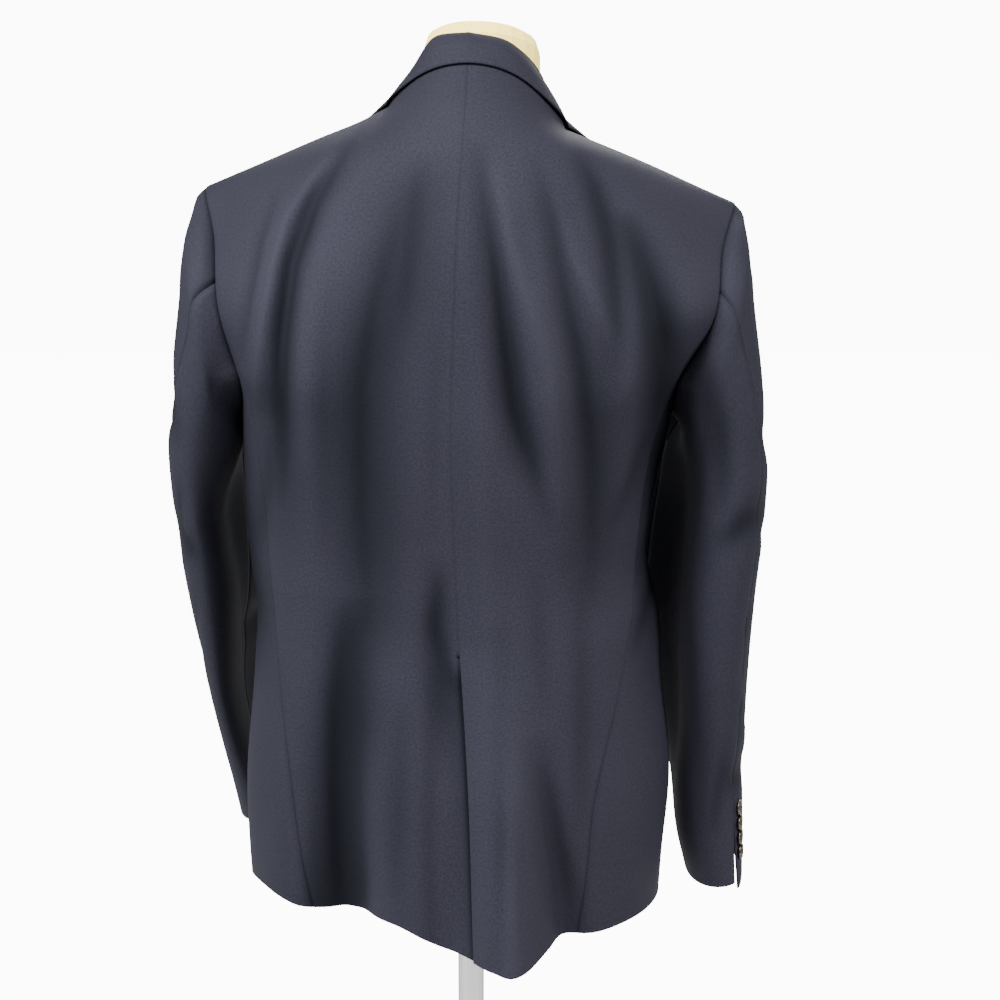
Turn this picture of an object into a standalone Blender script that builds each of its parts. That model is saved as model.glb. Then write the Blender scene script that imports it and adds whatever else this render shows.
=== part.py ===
"""Single-breasted blazer on a limbless dress form, in metres, +Z up.

The origin is on the floor under the form. The wearer faces +Y, and the wearer's right is +X.
Left and right in the names are the wearer's.
"""
import math

import bmesh
import bpy
import numpy as np
from mathutils import Vector

for old in list(bpy.data.objects):
    bpy.data.objects.remove(old, do_unlink=True)

# ---------------------------------------------------------------- driving dimensions
WALL = 0.002                 # cloth, with what is fused inside it
SEAM_GAP = 0.0003            # between pieces that are sewn together
ARMHOLE_GAP = 0.0006         # between body and sleeve
VENT_LAP = 0.030             # how far the left back runs under the right
UNDER_PUSH = 0.0034          # an underlapping layer lies this much further in
NECK_SHARE = 0.36            # part of a back panel's top row that is neckline
FRONT_SEAM_ANGLE = 128.0     # side and front panels meet here, degrees round from the centre back
BUTTON_PITCH = 0.0154
CUFF_BUTTON_RADIUS = 0.0075
FRONT_BUTTON_RADIUS = 0.010
BUTTON_THICKNESS = 0.003

# Closed rings of the body. "up" is the distance above the hem along the cloth, "edge" is the
# front edge or crease on the front's own side, "right_seam" and "left_seam" part back and side.
LEVELS = (
    # up,   z,     centre, left,    right,  back,    front, square, right_seam, left_seam, edge
    (0.000, 0.710, 0.004, -0.2085, 0.1795, -0.150, 0.130, 2.1, 0.100, -0.150, 0.050),
    (0.040, 0.750, 0.003, -0.2100, 0.1820, -0.149, 0.128, 2.1, 0.104, -0.153, 0.016),
    (0.120, 0.830, 0.001, -0.2105, 0.1880, -0.146, 0.124, 2.1, 0.111, -0.158, -0.010),
    (0.220, 0.930, -0.004, -0.2010, 0.1785, -0.139, 0.119, 2.2, 0.134, -0.168, -0.018),
    (0.280, 0.990, -0.008, -0.1972, 0.1745, -0.135, 0.117, 2.3, 0.146, -0.172, -0.019),
    (0.330, 1.040, -0.010, -0.2020, 0.1632, -0.136, 0.118, 2.4, 0.149, -0.176, -0.020),
    (0.400, 1.110, -0.012, -0.2058, 0.1730, -0.146, 0.125, 2.5, 0.158, -0.181, -0.0085),
    (0.460, 1.170, -0.013, -0.2035, 0.1860, -0.153, 0.131, 2.9, 0.176, -0.187, 0.011),
    (0.497, 1.205, -0.012, -0.2030, 0.1905, -0.1545, 0.132, 3.8, 0.188, -0.198, 0.023),
)
LEVEL_COLUMNS = ("up", "z", "centre", "left", "right", "back", "front", "square",
                 "right_seam", "left_seam", "edge")

# Height of the hem round the body: angle from the centre back (wearer's right positive), z.
HEM_LINE = (
    (-180, 0.703), (-130, 0.712), (-90, 0.728), (-66, 0.7365), (-46, 0.7265), (-35, 0.7265),
    (-18, 0.7265), (-8, 0.712), (0, 0.704), (8, 0.6975), (21, 0.7085), (27, 0.7125), (37, 0.7125),
    (58, 0.7135), (80, 0.713), (100, 0.707), (130, 0.704), (180, 0.703),
)

# Rows above the armpit: centre point and armhole point of each back, then how far it turns.
BACK_ROWS = (
    # up,   centre x, y, z,             right x, y, z,            left x, y, z,              turn
    (0.552, -0.010, -0.1560, 1.262, 0.2110, -0.0940, 1.256, -0.2130, -0.0920, 1.262, 50),
    (0.630, -0.007, -0.1470, 1.338, 0.2210, -0.0640, 1.316, -0.2205, -0.0620, 1.327, 40),
    (0.705, -0.002, -0.1150, 1.418, 0.2340, -0.0250, 1.347, -0.2320, -0.0250, 1.361, 20),
)
# Rows of the fronts: armhole point, crease distance from the centre line, y and z, turn.
FRONT_ROWS = (
    # up,   right x, y, z,           left x, y, z,            crease x, y, z,         turn
    (0.552, 0.1960, 0.0860, 1.252, -0.2020, 0.0870, 1.258, 0.041, 0.1330, 1.262, 105),
    (0.630, 0.2120, 0.0640, 1.310, -0.2130, 0.0640, 1.321, 0.062, 0.1180, 1.335, 120),
    (0.705, 0.2330, 0.0270, 1.346, -0.2310, 0.0270, 1.360, 0.079, 0.0660, 1.398, 150),
)
TOP_UP = 0.775
BEYOND_TOP = 0.825           # a guide row past the shoulder seam, which sets the slope there
NAPE = (0.001, -0.076, 1.478)
# Shoulder lines from the neck point to the shoulder tip: x, z (y is 0 all along).
SHOULDERS = {
    "right": ((0.0860, 1.4210), (0.1157, 1.4090), (0.1590, 1.3912), (0.2040, 1.3712), (0.2390, 1.3560)),
    "left": ((-0.0680, 1.4425), (-0.0930, 1.4295), (-0.1310, 1.4142), (-0.1850, 1.3915), (-0.2345, 1.3710)),
}

# Folds as stations along their length: z, x, depth (a ridge is negative), half width.
BACK_FOLDS = (
    ((1.407, -0.100, 0.000, 0.016), (1.350, -0.134, 0.005, 0.018), (1.268, -0.154, 0.007, 0.020),
     (1.205, -0.157, 0.007, 0.020), (1.120, -0.158, 0.004, 0.022), (1.020, -0.158, 0.000, 0.022)),
    ((1.407, -0.112, 0.000, 0.014), (1.350, -0.153, -0.004, 0.014), (1.309, -0.166, -0.005, 0.015),
     (1.247, -0.176, -0.004, 0.015), (1.200, -0.180, 0.000, 0.015)),
    ((1.400, -0.030, 0.000, 0.022), (1.360, -0.040, 0.004, 0.025), (1.285, -0.060, 0.006, 0.030),
     (1.205, -0.084, 0.008, 0.030), (1.098, -0.087, 0.007, 0.032), (1.002, -0.082, 0.004, 0.030),
     (0.950, -0.080, 0.000, 0.030)),
    ((1.020, -0.095, 0.000, 0.018), (0.984, -0.101, 0.006, 0.020), (0.922, -0.107, 0.013, 0.023),
     (0.854, -0.110, 0.020, 0.028), (0.785, -0.112, 0.029, 0.034), (0.715, -0.116, 0.036, 0.038)),
    ((0.980, 0.012, 0.000, 0.022), (0.922, 0.024, -0.006, 0.025), (0.854, 0.032, -0.014, 0.028),
     (0.785, 0.033, -0.024, 0.030), (0.700, 0.033, -0.036, 0.032)),
    ((1.060, -0.026, 0.000, 0.012), (1.033, -0.025, 0.003, 0.012), (0.997, -0.026, 0.006, 0.013),
     (0.953, -0.024, 0.006, 0.013), (0.895, -0.020, 0.003, 0.012), (0.850, -0.016, 0.000, 0.012)),
    ((1.410, 0.010, 0.000, 0.012), (1.342, 0.020, 0.004, 0.012), (1.285, 0.028, 0.006, 0.014),
     (1.226, 0.036, 0.008, 0.015), (1.184, 0.042, 0.009, 0.015), (1.150, 0.051, 0.007, 0.016),
     (1.115, 0.062, 0.003, 0.016), (1.070, 0.075, 0.000, 0.016)),
    ((1.390, 0.027, 0.000, 0.013), (1.318, 0.043, -0.004, 0.014), (1.268, 0.056, -0.005, 0.015),
     (1.218, 0.070, -0.005, 0.017), (1.120, 0.083, -0.003, 0.020), (1.050, 0.090, 0.000, 0.020)),
    ((1.400, 0.060, 0.000, 0.014), (1.338, 0.074, 0.004, 0.014), (1.285, 0.082, 0.005, 0.015),
     (1.218, 0.095, 0.006, 0.017), (1.141, 0.104, 0.006, 0.020), (1.060, 0.108, 0.004, 0.022),
     (0.980, 0.110, 0.000, 0.022)),
    ((1.400, 0.092, 0.000, 0.012), (1.375, 0.106, 0.004, 0.012), (1.330, 0.119, 0.006, 0.014),
     (1.285, 0.126, 0.006, 0.015), (1.240, 0.127, 0.004, 0.015), (1.190, 0.126, 0.000, 0.015)),
    ((1.350, 0.135, 0.000, 0.014), (1.334, 0.141, 0.004, 0.014), (1.301, 0.153, 0.008, 0.016),
     (1.260, 0.164, 0.011, 0.017), (1.209, 0.168, 0.010, 0.018), (1.141, 0.164, 0.006, 0.020),
     (1.070, 0.158, 0.000, 0.020)),
    ((0.900, 0.062, 0.000, 0.014), (0.858, 0.067, 0.006, 0.014), (0.800, 0.076, 0.010, 0.016),
     (0.757, 0.084, 0.012, 0.016), (0.700, 0.090, 0.013, 0.016)),
)
FRONT_FOLDS = (
    ((1.020, 0.108, 0.000, 0.022), (0.900, 0.114, 0.006, 0.025), (0.800, 0.119, 0.010, 0.028),
     (0.700, 0.122, 0.012, 0.030)),
    ((1.000, -0.122, 0.000, 0.022), (0.890, -0.128, 0.007, 0.025), (0.790, -0.134, 0.011, 0.028),
     (0.700, -0.138, 0.013, 0.030)),
    ((1.240, 0.150, 0.000, 0.018), (1.180, 0.130, 0.004, 0.020), (1.110, 0.100, 0.005, 0.022),
     (1.050, 0.070, 0.000, 0.022)),
    ((1.245, -0.160, 0.000, 0.018), (1.185, -0.138, 0.005, 0.020), (1.110, -0.104, 0.004, 0.022),
     (1.050, -0.072, 0.000, 0.022)),
)

# Sleeve sections below the armhole: outermost and innermost points, middle and half depth
# front to back, how far its front edge swings in towards the body, and how far the seams have
# turned outwards.
SLEEVE_SQUARE = 2.2
SLEEVE_SECTIONS = {
    "right": (
        # outer x, z,    inner x, z,    middle y, half depth, swing, turn
        (0.2490, 1.3260, 0.1935, 1.1540, -0.006, 0.0930, 0.000, 4),
        (0.2560, 1.2720, 0.1970, 1.1360, -0.004, 0.0920, 0.004, 12),
        (0.2655, 1.2110, 0.2000, 1.1140, -0.001, 0.0880, 0.035, 20),
        (0.2725, 1.1450, 0.2010, 1.0800, 0.002, 0.0840, 0.053, 26),
        (0.2725, 1.0800, 0.1990, 1.0400, 0.005, 0.0800, 0.063, 28),
        (0.2665, 1.0100, 0.1975, 0.9900, 0.010, 0.0765, 0.066, 28),
        (0.2625, 0.9400, 0.1978, 0.9330, 0.017, 0.0725, 0.056, 26),
        (0.2612, 0.8700, 0.2000, 0.8680, 0.026, 0.0680, 0.044, 24),
        (0.2622, 0.8000, 0.1975, 0.8000, 0.035, 0.0640, 0.012, 24),
        (0.2638, 0.7550, 0.2005, 0.7530, 0.040, 0.0620, 0.002, 24),
        (0.2648, 0.7150, 0.2100, 0.7120, 0.044, 0.0600, 0.000, 24),
    ),
    "left": (
        (-0.2510, 1.3370, -0.2065, 1.1620, -0.004, 0.0900, 0.000, 4),
        (-0.2580, 1.2820, -0.2120, 1.1440, 0.000, 0.0890, 0.003, 10),
        (-0.2675, 1.2250, -0.2190, 1.1210, 0.006, 0.0860, 0.010, 20),
        (-0.2745, 1.1600, -0.2270, 1.0870, 0.012, 0.0820, 0.027, 28),
        (-0.2745, 1.0950, -0.2250, 1.0470, 0.022, 0.0780, 0.034, 36),
        (-0.2700, 1.0250, -0.2208, 1.0000, 0.038, 0.0740, 0.032, 46),
        (-0.2630, 0.9600, -0.2222, 0.9450, 0.058, 0.0700, 0.030, 58),
        (-0.2562, 0.8950, -0.2240, 0.8870, 0.083, 0.0660, 0.028, 70),
        (-0.2500, 0.8350, -0.2170, 0.8300, 0.110, 0.0630, 0.022, 80),
        (-0.2440, 0.7850, -0.2070, 0.7830, 0.132, 0.0610, 0.014, 88),
        (-0.2390, 0.7440, -0.2010, 0.7420, 0.148, 0.0600, 0.010, 92),
    ),
}
# The sleeve's folds: ring share down the sleeve, angle round it, depth, half widths of both.
SLEEVE_FOLDS = {
    "right": ((0.26, 30.0, 0.006, 0.030, 30.0), (0.36, 100.0, 0.005, 0.030, 34.0),
              (0.55, -60.0, 0.006, 0.030, 40.0), (0.80, 70.0, 0.004, 0.030, 30.0)),
    "left": ((0.24, 60.0, 0.005, 0.030, 34.0), (0.42, 110.0, 0.005, 0.030, 36.0),
             (0.58, -70.0, 0.006, 0.030, 40.0)),
}
SLEEVE_SEAM_ANGLES = (78.0, -112.0)     # back and front seam at the armhole, from the top
CUFF_OPENING = 0.0022                   # each side of the open cuff vent at the hem

# The collar round the neck. "along" is 0 at the centre back, 1 at the neck point and 2 at the
# gorge, down the crease. The fall edge lies on the panels, "drop" below the neckline behind and
# "spread" away from the crease in front.
COLLAR_BACK = {
    "right": (
        # along, roll x, y, z,          drop
        (0.00, 0.001, -0.0575, 1.4995, 0.007),
        (0.33, 0.036, -0.0520, 1.4920, 0.008),
        (0.66, 0.0610, -0.0275, 1.4695, 0.012),
        (1.00, 0.0720, 0.0060, 1.4405, 0.007),
    ),
    "left": (
        (0.00, 0.001, -0.0575, 1.4995, 0.007),
        (0.33, -0.028, -0.0510, 1.4960, 0.008),
        (0.66, -0.043, -0.0260, 1.4765, 0.012),
        (1.00, -0.0540, 0.0060, 1.4585, 0.012),
    ),
}
COLLAR_FRONT = (
    # along, up the front, spread
    (1.30, 0.755, 0.028), (1.70, 0.726, 0.040), (2.00, 0.705, 0.042),
)
LAPEL_WIDTHS = (
    # up the front, width
    (0.365, 0.003), (0.400, 0.022), (0.480, 0.052), (0.560, 0.074), (0.640, 0.088), (0.700, 0.090),
)
LAPEL_FOOT = {"left": 0.372, "right": 0.440}
LAPEL_TOP = 0.7025
FLAP = {"low": 0.172, "high": 0.227, "from_share": 0.04, "to_share": 0.64}
ON_PANEL = 0.0008            # what lies on a panel is this far from it
COLLAR_LIFT = 0.0006         # and the collar's springy edge a little further

# The dress form: z, half widths to each side, middle x, half depths to back and front, middle y.
FORM_RINGS = (
    # z,    half width, middle x, back,  front
    (0.800, 0.150, -0.010, 0.098, 0.095),
    (0.860, 0.158, -0.010, 0.104, 0.098),
    (0.930, 0.152, -0.010, 0.104, 0.096),
    (1.010, 0.138, -0.012, 0.100, 0.090),
    (1.090, 0.143, -0.012, 0.108, 0.096),
    (1.170, 0.158, -0.008, 0.118, 0.108),
    (1.250, 0.168, -0.006, 0.118, 0.104),
    (1.310, 0.174, -0.006, 0.104, 0.086),
    (1.350, 0.178, -0.010, 0.078, 0.060),
    (1.375, 0.176, -0.0125, 0.056, 0.036),
    (1.388, 0.1706, -0.0130, 0.046, 0.026),
    (1.400, 0.1436, -0.0125, 0.044, 0.022),
    (1.410, 0.1160, -0.0130, 0.044, 0.018),
    (1.420, 0.0880, -0.0115, 0.045, 0.018),
    (1.430, 0.0690, 0.0010, 0.046, 0.034),
    (1.442, 0.0570, 0.0080, 0.047, 0.048),
    (1.455, 0.0505, 0.0110, 0.0475, 0.0535),
)
NECK_CAP = {"centre": (0.0122, 0.003), "radius": 0.0515, "low": 1.4553, "front": 1.483, "back": 1.515,
            "lean": -0.05}
POLE_RADIUS = 0.0125
BASE_RADIUS = 0.190
BASE_THICKNESS = 0.018

COLOURS = {
    "wool": (0.020, 0.024, 0.040),
    "button": (0.060, 0.036, 0.024),
    "linen": (0.800, 0.715, 0.540),
    "steel": (0.550, 0.550, 0.560),
}


# ---------------------------------------------------------------- curves and grids
def slopes(knots, stack):
    """Tangents of a smooth curve at its knots."""
    step = np.diff(knots)
    spread = (-1,) + (1,) * (stack.ndim - 1)
    slope = np.diff(stack, axis=0) / step.reshape(spread)
    tangent = np.empty_like(stack)
    tangent[0] = slope[0]
    tangent[-1] = slope[-1]
    share = (step[:-1] / (step[:-1] + step[1:])).reshape(spread)
    tangent[1:-1] = slope[:-1] * (1 - share) + slope[1:] * share
    return tangent


def blend(t, low, high, leave, arrive):
    return (low * (2 * t**3 - 3 * t**2 + 1) + leave * (t**3 - 2 * t**2 + t)
            + high * (3 * t**2 - 2 * t**3) + arrive * (t**3 - t**2))


def through(knots, stack, wanted):
    """Smooth curve through the stacked values at the knots, read at the wanted places."""
    knots, stack, wanted = (np.asarray(given, float) for given in (knots, stack, wanted))
    tangent = slopes(knots, stack)
    place = np.clip(np.searchsorted(knots, wanted, side="right") - 1, 0, len(knots) - 2)
    width = np.diff(knots)[place]
    t = np.clip((wanted - knots[place]) / width, 0.0, 1.0)
    spread = wanted.shape + (1,) * (stack.ndim - 1)
    t, width = t.reshape(spread), width.reshape(spread)
    return blend(t, stack[place], stack[place + 1], tangent[place] * width, tangent[place + 1] * width)


def through_each(knots, stack, wanted):
    """Like through, for a grid of curves that are each read at a place of their own."""
    knots = np.asarray(knots, float)
    tangent = slopes(knots, stack)
    place = np.clip(np.searchsorted(knots, wanted, side="right") - 1, 0, len(knots) - 2)
    width = np.diff(knots)[place]
    t = np.clip((wanted - knots[place]) / width, 0.0, 1.0)[..., None]
    index = np.broadcast_to(place[None, ..., None], (1,) + stack.shape[1:])
    low, high, leave, arrive = (np.take_along_axis(rows, index, 0)[0]
                                for rows in (stack, stack[1:], tangent, tangent[1:]))
    return blend(t, low, high, leave * width[..., None], arrive * width[..., None])


def ease(value, start, end):
    """0 before start, 1 past end, smooth between them."""
    t = np.clip((value - start) / (end - start), 0.0, 1.0)
    return t * t * (3 - 2 * t)


def table(rows, names):
    return [dict(zip(names, row)) for row in rows]


def unit(vectors):
    length = np.linalg.norm(vectors, axis=-1, keepdims=True)
    return vectors / np.maximum(length, 1e-9)


# ---------------------------------------------------------------- the body's surface
LEVEL_ROWS = table(LEVELS, LEVEL_COLUMNS)


def ring(level, angle):
    """Points of one closed ring at the given angles from the centre back."""
    s, c = np.sin(angle), np.cos(angle)
    reach = (np.abs(s)**level["square"] + np.abs(c)**level["square"]) ** (-1.0 / level["square"])
    half = np.where(s > 0, level["right"] - level["centre"], level["centre"] - level["left"])
    depth = np.where(c > 0, -level["back"], level["front"])
    hem = np.array(HEM_LINE)
    drop = through(hem[:, 0], hem[:, 1], np.degrees(np.arctan2(s, c))) - LEVEL_ROWS[0]["z"]
    share = 1.0 - ease(level["up"], -0.03, LEVEL_ROWS[2]["up"])
    share = 1.0 if level["up"] == 0 else share
    return np.stack([level["centre"] + half * s * reach, -depth * c * reach, level["z"] + drop * share], -1)


def angle_at(level, x):
    """Angle on the back half of a ring where it reaches x."""
    angles = np.radians(np.linspace(-90, 90, 361))
    return np.interp(x, ring(level, angles)[:, 0], angles)


def swept(start, end, first, last, u):
    """A row from start to end that leaves and arrives at the given headings, in degrees."""
    start, end = np.array(start), np.array(end)
    reach = np.linalg.norm((end - start)[:2]) * 1.05
    leave = np.array([math.cos(math.radians(first)), math.sin(math.radians(first)), 0.0]) * reach
    arrive = np.array([math.cos(math.radians(last)), math.sin(math.radians(last)), 0.0]) * reach
    t = u[..., None]
    row = (start * (2 * t**3 - 3 * t**2 + 1) + leave * (t**3 - 2 * t**2 + t)
           + end * (3 * t**2 - 2 * t**3) + arrive * (t**3 - t**2))
    row[..., 2] = start[2] + (end[2] - start[2]) * u * (0.35 + 0.65 * u)
    return row


def shoulder(side, share):
    """Point on the shoulder line, from the neck point (0) to the tip (1)."""
    line = np.array(SHOULDERS[side])
    knots = (line[:, 0] - line[0, 0]) / (line[-1, 0] - line[0, 0])
    flat = through(knots, line, share)
    return np.stack([flat[..., 0], np.zeros_like(share), flat[..., 1]], -1)


def neckline(side, share):
    """Point on the back neckline, from the nape (0) to the neck point (1)."""
    turn = share * math.pi / 2
    tip = np.array([SHOULDERS[side][0][0], 0.0, SHOULDERS[side][0][1]])
    nape = np.array(NAPE)
    x = nape[0] + (tip[0] - nape[0]) * np.sin(turn)
    y = nape[1] * np.cos(turn)
    z = tip[2] + (nape[2] - tip[2]) * np.abs(np.cos(turn)) ** 1.5
    return np.stack([x, y, z], -1)


def fold_depth(points, folds, facing):
    """How far the folds push the cloth in, at each point."""
    total = np.zeros(points.shape[:-1])
    for fold in folds:
        stations = np.array(sorted(fold))
        line = through(stations[:, 0], stations[:, 1:], points[..., 2])
        inside = (points[..., 2] >= stations[0, 0]) | (stations[0, 0] < 0.73)
        inside = inside & (points[..., 2] <= stations[-1, 0])
        across = (points[..., 0] - line[..., 0]) / line[..., 2]
        total += np.where(inside, line[..., 1] * np.exp(-across**2), 0.0)
    return total * ease(facing * points[..., 1], 0.0, 0.035)


def folded(points):
    """The body's points, moved in or out by its folds."""
    depth = fold_depth(points, BACK_FOLDS, -1) + fold_depth(points, FRONT_FOLDS, 1)
    outward = np.stack([(points[..., 0] + 0.01) / 0.19**2, points[..., 1] / 0.14**2,
                        np.zeros_like(depth)], -1)
    return points - unit(outward) * depth[..., None]


def sign(side):
    return 1.0 if side == "right" else -1.0


def back_surface(side, u, up):
    """Back panel: u runs from the centre back to the side seam or the armhole."""
    rows, knots = [], []
    for level in LEVEL_ROWS:
        end = angle_at(level, level[side + "_seam"])
        rows.append(ring(level, end * u))
        knots.append(level["up"])
    for row in BACK_ROWS:
        end = row[4:7] if side == "right" else row[7:10]
        headings = (0, row[10]) if side == "right" else (180, 180 - row[10])
        rows.append(swept(row[1:4], end, *headings, u))
        knots.append(row[0])
    on_neck = np.clip(u / NECK_SHARE, 0, 1)
    on_shoulder = np.clip((u - NECK_SHARE) / (1 - NECK_SHARE), 0, 1)
    top = np.where((u < NECK_SHARE)[..., None], neckline(side, on_neck), shoulder(side, on_shoulder))
    turn = on_neck * math.pi / 2
    past = np.stack([np.zeros_like(u), 0.45 * np.cos(turn) + 0.98 * np.sin(turn),
                     0.90 * np.cos(turn) - 0.06 * np.sin(turn)], -1) * 0.05
    rows += [top, top + past]
    knots += [TOP_UP, BEYOND_TOP]
    return folded(through_each(knots, np.stack(rows), up))


def side_surface(side, u, up):
    """Side panel: u runs from the back seam to the front seam; up is 0 to 1 here."""
    junction = LEVEL_ROWS[-1]
    rows, knots = [], []
    for level in LEVEL_ROWS:
        start = angle_at(level, level[side + "_seam"])
        end = math.radians(FRONT_SEAM_ANGLE) * sign(side)
        rows.append(ring(level, start + (end - start) * u))
        knots.append(level["up"])
    back, front = BACK_ROWS[0], FRONT_ROWS[0]
    ends = (back[4:7], front[1:4]) if side == "right" else (back[7:10], front[4:7])
    headings = (back[10], front[10]) if side == "right" else (180 - back[10], 180 - front[10])
    rows.append(swept(*ends, *headings, u))
    knots.append(back[0])
    dip = np.sin(np.pi * u) ** 1.2 * 0.040
    height = up * (junction["up"] - dip)
    return folded(through_each(knots, np.stack(rows), height))


def front_surface(side, u, up):
    """Front panel: u runs from the side seam or the armhole to the front edge or crease."""
    rows, knots = [], []
    for level in LEVEL_ROWS:
        start = math.radians(FRONT_SEAM_ANGLE)
        half = abs(level[side] - level["centre"])
        offset = (level["edge"] - sign(side) * level["centre"]) / half
        end = math.pi - math.asin(offset)
        rows.append(ring(level, (start + (end - start) * u) * sign(side)))
        knots.append(level["up"])
    for row in FRONT_ROWS:
        start = row[1:4] if side == "right" else row[4:7]
        crease = (sign(side) * row[7], row[8], row[9])
        headings = (row[10], 180) if side == "right" else (180 - row[10], 0)
        rows.append(swept(start, crease, *headings, u))
        knots.append(row[0])
    top = shoulder(side, 1 - u)
    past = np.stack([np.zeros_like(u), np.full_like(u, -0.049), np.full_like(u, -0.003)], -1)
    rows += [top, top + past]
    knots += [TOP_UP, BEYOND_TOP]
    points = folded(through_each(knots, np.stack(rows), up))
    if side == "right":
        under = ease(-points[..., 0], -0.048, -0.028) * ease(-points[..., 2], -1.20, -1.165)
        points[..., 1] -= under * UNDER_PUSH
    return points


# ---------------------------------------------------------------- walls
def normals_of(surface, side, u, up):
    """Outward normals of a surface, by small steps along both of its directions."""
    h = 1e-4
    u_low, u_high = np.clip(u - h, 0, 1), np.clip(u + h, 0, 1)
    top = 1.0 if surface is side_surface else TOP_UP
    up_low, up_high = np.clip(up - h, 0, top), np.clip(up + h, 0, top)
    along = surface(side, u_high, up) - surface(side, u_low, up)
    rise = surface(side, u, up_high) - surface(side, u, up_low)
    return unit(np.cross(along, rise)) * sign(side)


def ridge_normals(side, share):
    """Normals along the shoulder seam, the same for the back and the front."""
    run = shoulder(side, np.clip(share + 0.01, 0, 1)) - shoulder(side, np.clip(share - 0.01, 0, 1))
    return unit(np.stack([-run[..., 2] * sign(side), np.zeros_like(share), np.abs(run[..., 0])], -1))


def wall_mesh(name, outer, inner):
    """One closed body between two grids of points."""
    rows, columns = outer.shape[:2]
    points = np.concatenate([outer.reshape(-1, 3), inner.reshape(-1, 3)])
    shift = rows * columns
    faces = []
    for i in range(rows - 1):
        for j in range(columns - 1):
            a, b = i * columns + j, i * columns + j + 1
            c, d = b + columns, a + columns
            faces.append((a, b, c, d))
            faces.append((a + shift, d + shift, c + shift, b + shift))
    for j in range(columns - 1):
        faces.append((j, j + shift, j + 1 + shift, j + 1))
        a, b = (rows - 1) * columns + j, (rows - 1) * columns + j + 1
        faces.append((a, b, b + shift, a + shift))
    for i in range(rows - 1):
        a, d = i * columns, (i + 1) * columns
        faces.append((a, d, d + shift, a + shift))
        b, c = a + columns - 1, d + columns - 1
        faces.append((b, b + shift, c + shift, c))
    mesh = bpy.data.meshes.new(name)
    mesh.from_pydata([tuple(p) for p in points], [], faces)
    cleaned = bmesh.new()
    cleaned.from_mesh(mesh)
    bmesh.ops.recalc_face_normals(cleaned, faces=cleaned.faces)
    cleaned.to_mesh(mesh)
    cleaned.free()
    return mesh


def inset(points, gaps):
    """Moves the border rows and columns in: gaps for low, high row and first, last column."""
    moved = points.copy()
    low, high, first, last = gaps
    moved[0] += unit(points[1] - points[0]) * low
    moved[-1] += unit(points[-2] - points[-1]) * high
    moved[:, 0] += unit(points[:, 1] - points[:, 0]) * first
    moved[:, -1] += unit(points[:, -2] - points[:, -1]) * last
    return moved


def add_piece(name, mesh, colour, roughness=0.8, metallic=0.0):
    material = bpy.data.materials.new(name + "_material")
    material.use_nodes = True
    shader = material.node_tree.nodes["Principled BSDF"]
    shader.inputs["Base Color"].default_value = (*COLOURS[colour], 1.0)
    shader.inputs["Roughness"].default_value = roughness
    shader.inputs["Metallic"].default_value = metallic
    mesh.materials.append(material)
    mesh.shade_smooth()
    mesh.set_sharp_from_angle(angle=math.radians(40))
    piece = bpy.data.objects.new(name, mesh)
    PARTS.objects.link(piece)
    return piece


def panel_grid(columns, ups):
    u, up = np.meshgrid(columns, ups)
    return u, up


LOWER_UPS = [0.0, 0.03, 0.06, 0.095, 0.13, 0.165, 0.20, 0.232, 0.260, 0.267, 0.288, 0.31,
             0.345, 0.38, 0.415, 0.45, 0.475, 0.497]
UPPER_UPS = [0.524, 0.552, 0.58, 0.608, 0.636, 0.662, 0.686, 0.708, 0.730, 0.748, 0.763, TOP_UP]
VENT_ROW = 0.260             # the left back goes under the right one from this row down
UNDER_STARTS, UNDER_FULL = 0.040, 0.012     # how far left of the vent the left back starts to go under
SIDE_COLUMNS = np.linspace(0, 1, 8)
FRONT_COLUMNS = np.linspace(0, 1, 8)
SIDE_UPS = [up / LOWER_UPS[-1] for up in LOWER_UPS]
SLEEVE_ROWS = [0.0, 0.035, 0.08, 0.13, 0.19, 0.26, 0.34, 0.42, 0.50, 0.58, 0.66, 0.74, 0.82,
               0.89, 0.95, 1.0]
NECK_COLUMNS = np.linspace(0, NECK_SHARE, 7)
RIGHT_COLUMNS = list(NECK_COLUMNS) + list(np.linspace(NECK_SHARE, 1, 8))[1:]
COLLAR_PLACES = list(NECK_COLUMNS / NECK_SHARE) + [1.15, 1.3, 1.5, 1.7, 1.85, 2.0]
BACK_COLUMNS = {"right": RIGHT_COLUMNS, "left": [0.0, 0.03, 0.06] + RIGHT_COLUMNS[1:]}


def back_panel(side):
    """Grid of a back panel; below the vent's top the left one runs on under the right one."""
    u, up = panel_grid(BACK_COLUMNS[side], LOWER_UPS + UPPER_UPS)
    outer = back_surface(side, u, up)
    normals = normals_of(back_surface, side, u, up)
    if side == "left":
        vent_row = LOWER_UPS.index(VENT_ROW)
        lap_share = np.array([1.0, 0.5, 0.0]) * VENT_LAP / LEVEL_ROWS[1]["right_seam"]
        for i in range(vent_row):
            outer[i, :3] = back_surface("right", lap_share, up[i, :3])
            normals[i, :3] = normals_of(back_surface, "right", lap_share, up[i, :3])
        under = ease(outer[:vent_row + 1, :, 0], NAPE[0] - UNDER_STARTS, NAPE[0] - UNDER_FULL)
        outer[:vent_row + 1] -= normals[:vent_row + 1] * (under * UNDER_PUSH)[..., None]
    on_shoulder = u[-1] >= NECK_SHARE
    share = (u[-1][on_shoulder] - NECK_SHARE) / (1 - NECK_SHARE)
    normals[-1][on_shoulder] = ridge_normals(side, share)
    half = SEAM_GAP / 2
    return inset(outer, (0, half, half, half)), normals


def body_panel(surface, side, columns, ups):
    u, up = panel_grid(columns, ups)
    outer = surface(side, u, up)
    normals = normals_of(surface, side, u, up)
    half = SEAM_GAP / 2
    free_front = surface is front_surface
    if free_front:
        normals[-1] = ridge_normals(side, 1 - u[-1])
    return inset(outer, (0, half, half, 0 if free_front else half)), normals


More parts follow.
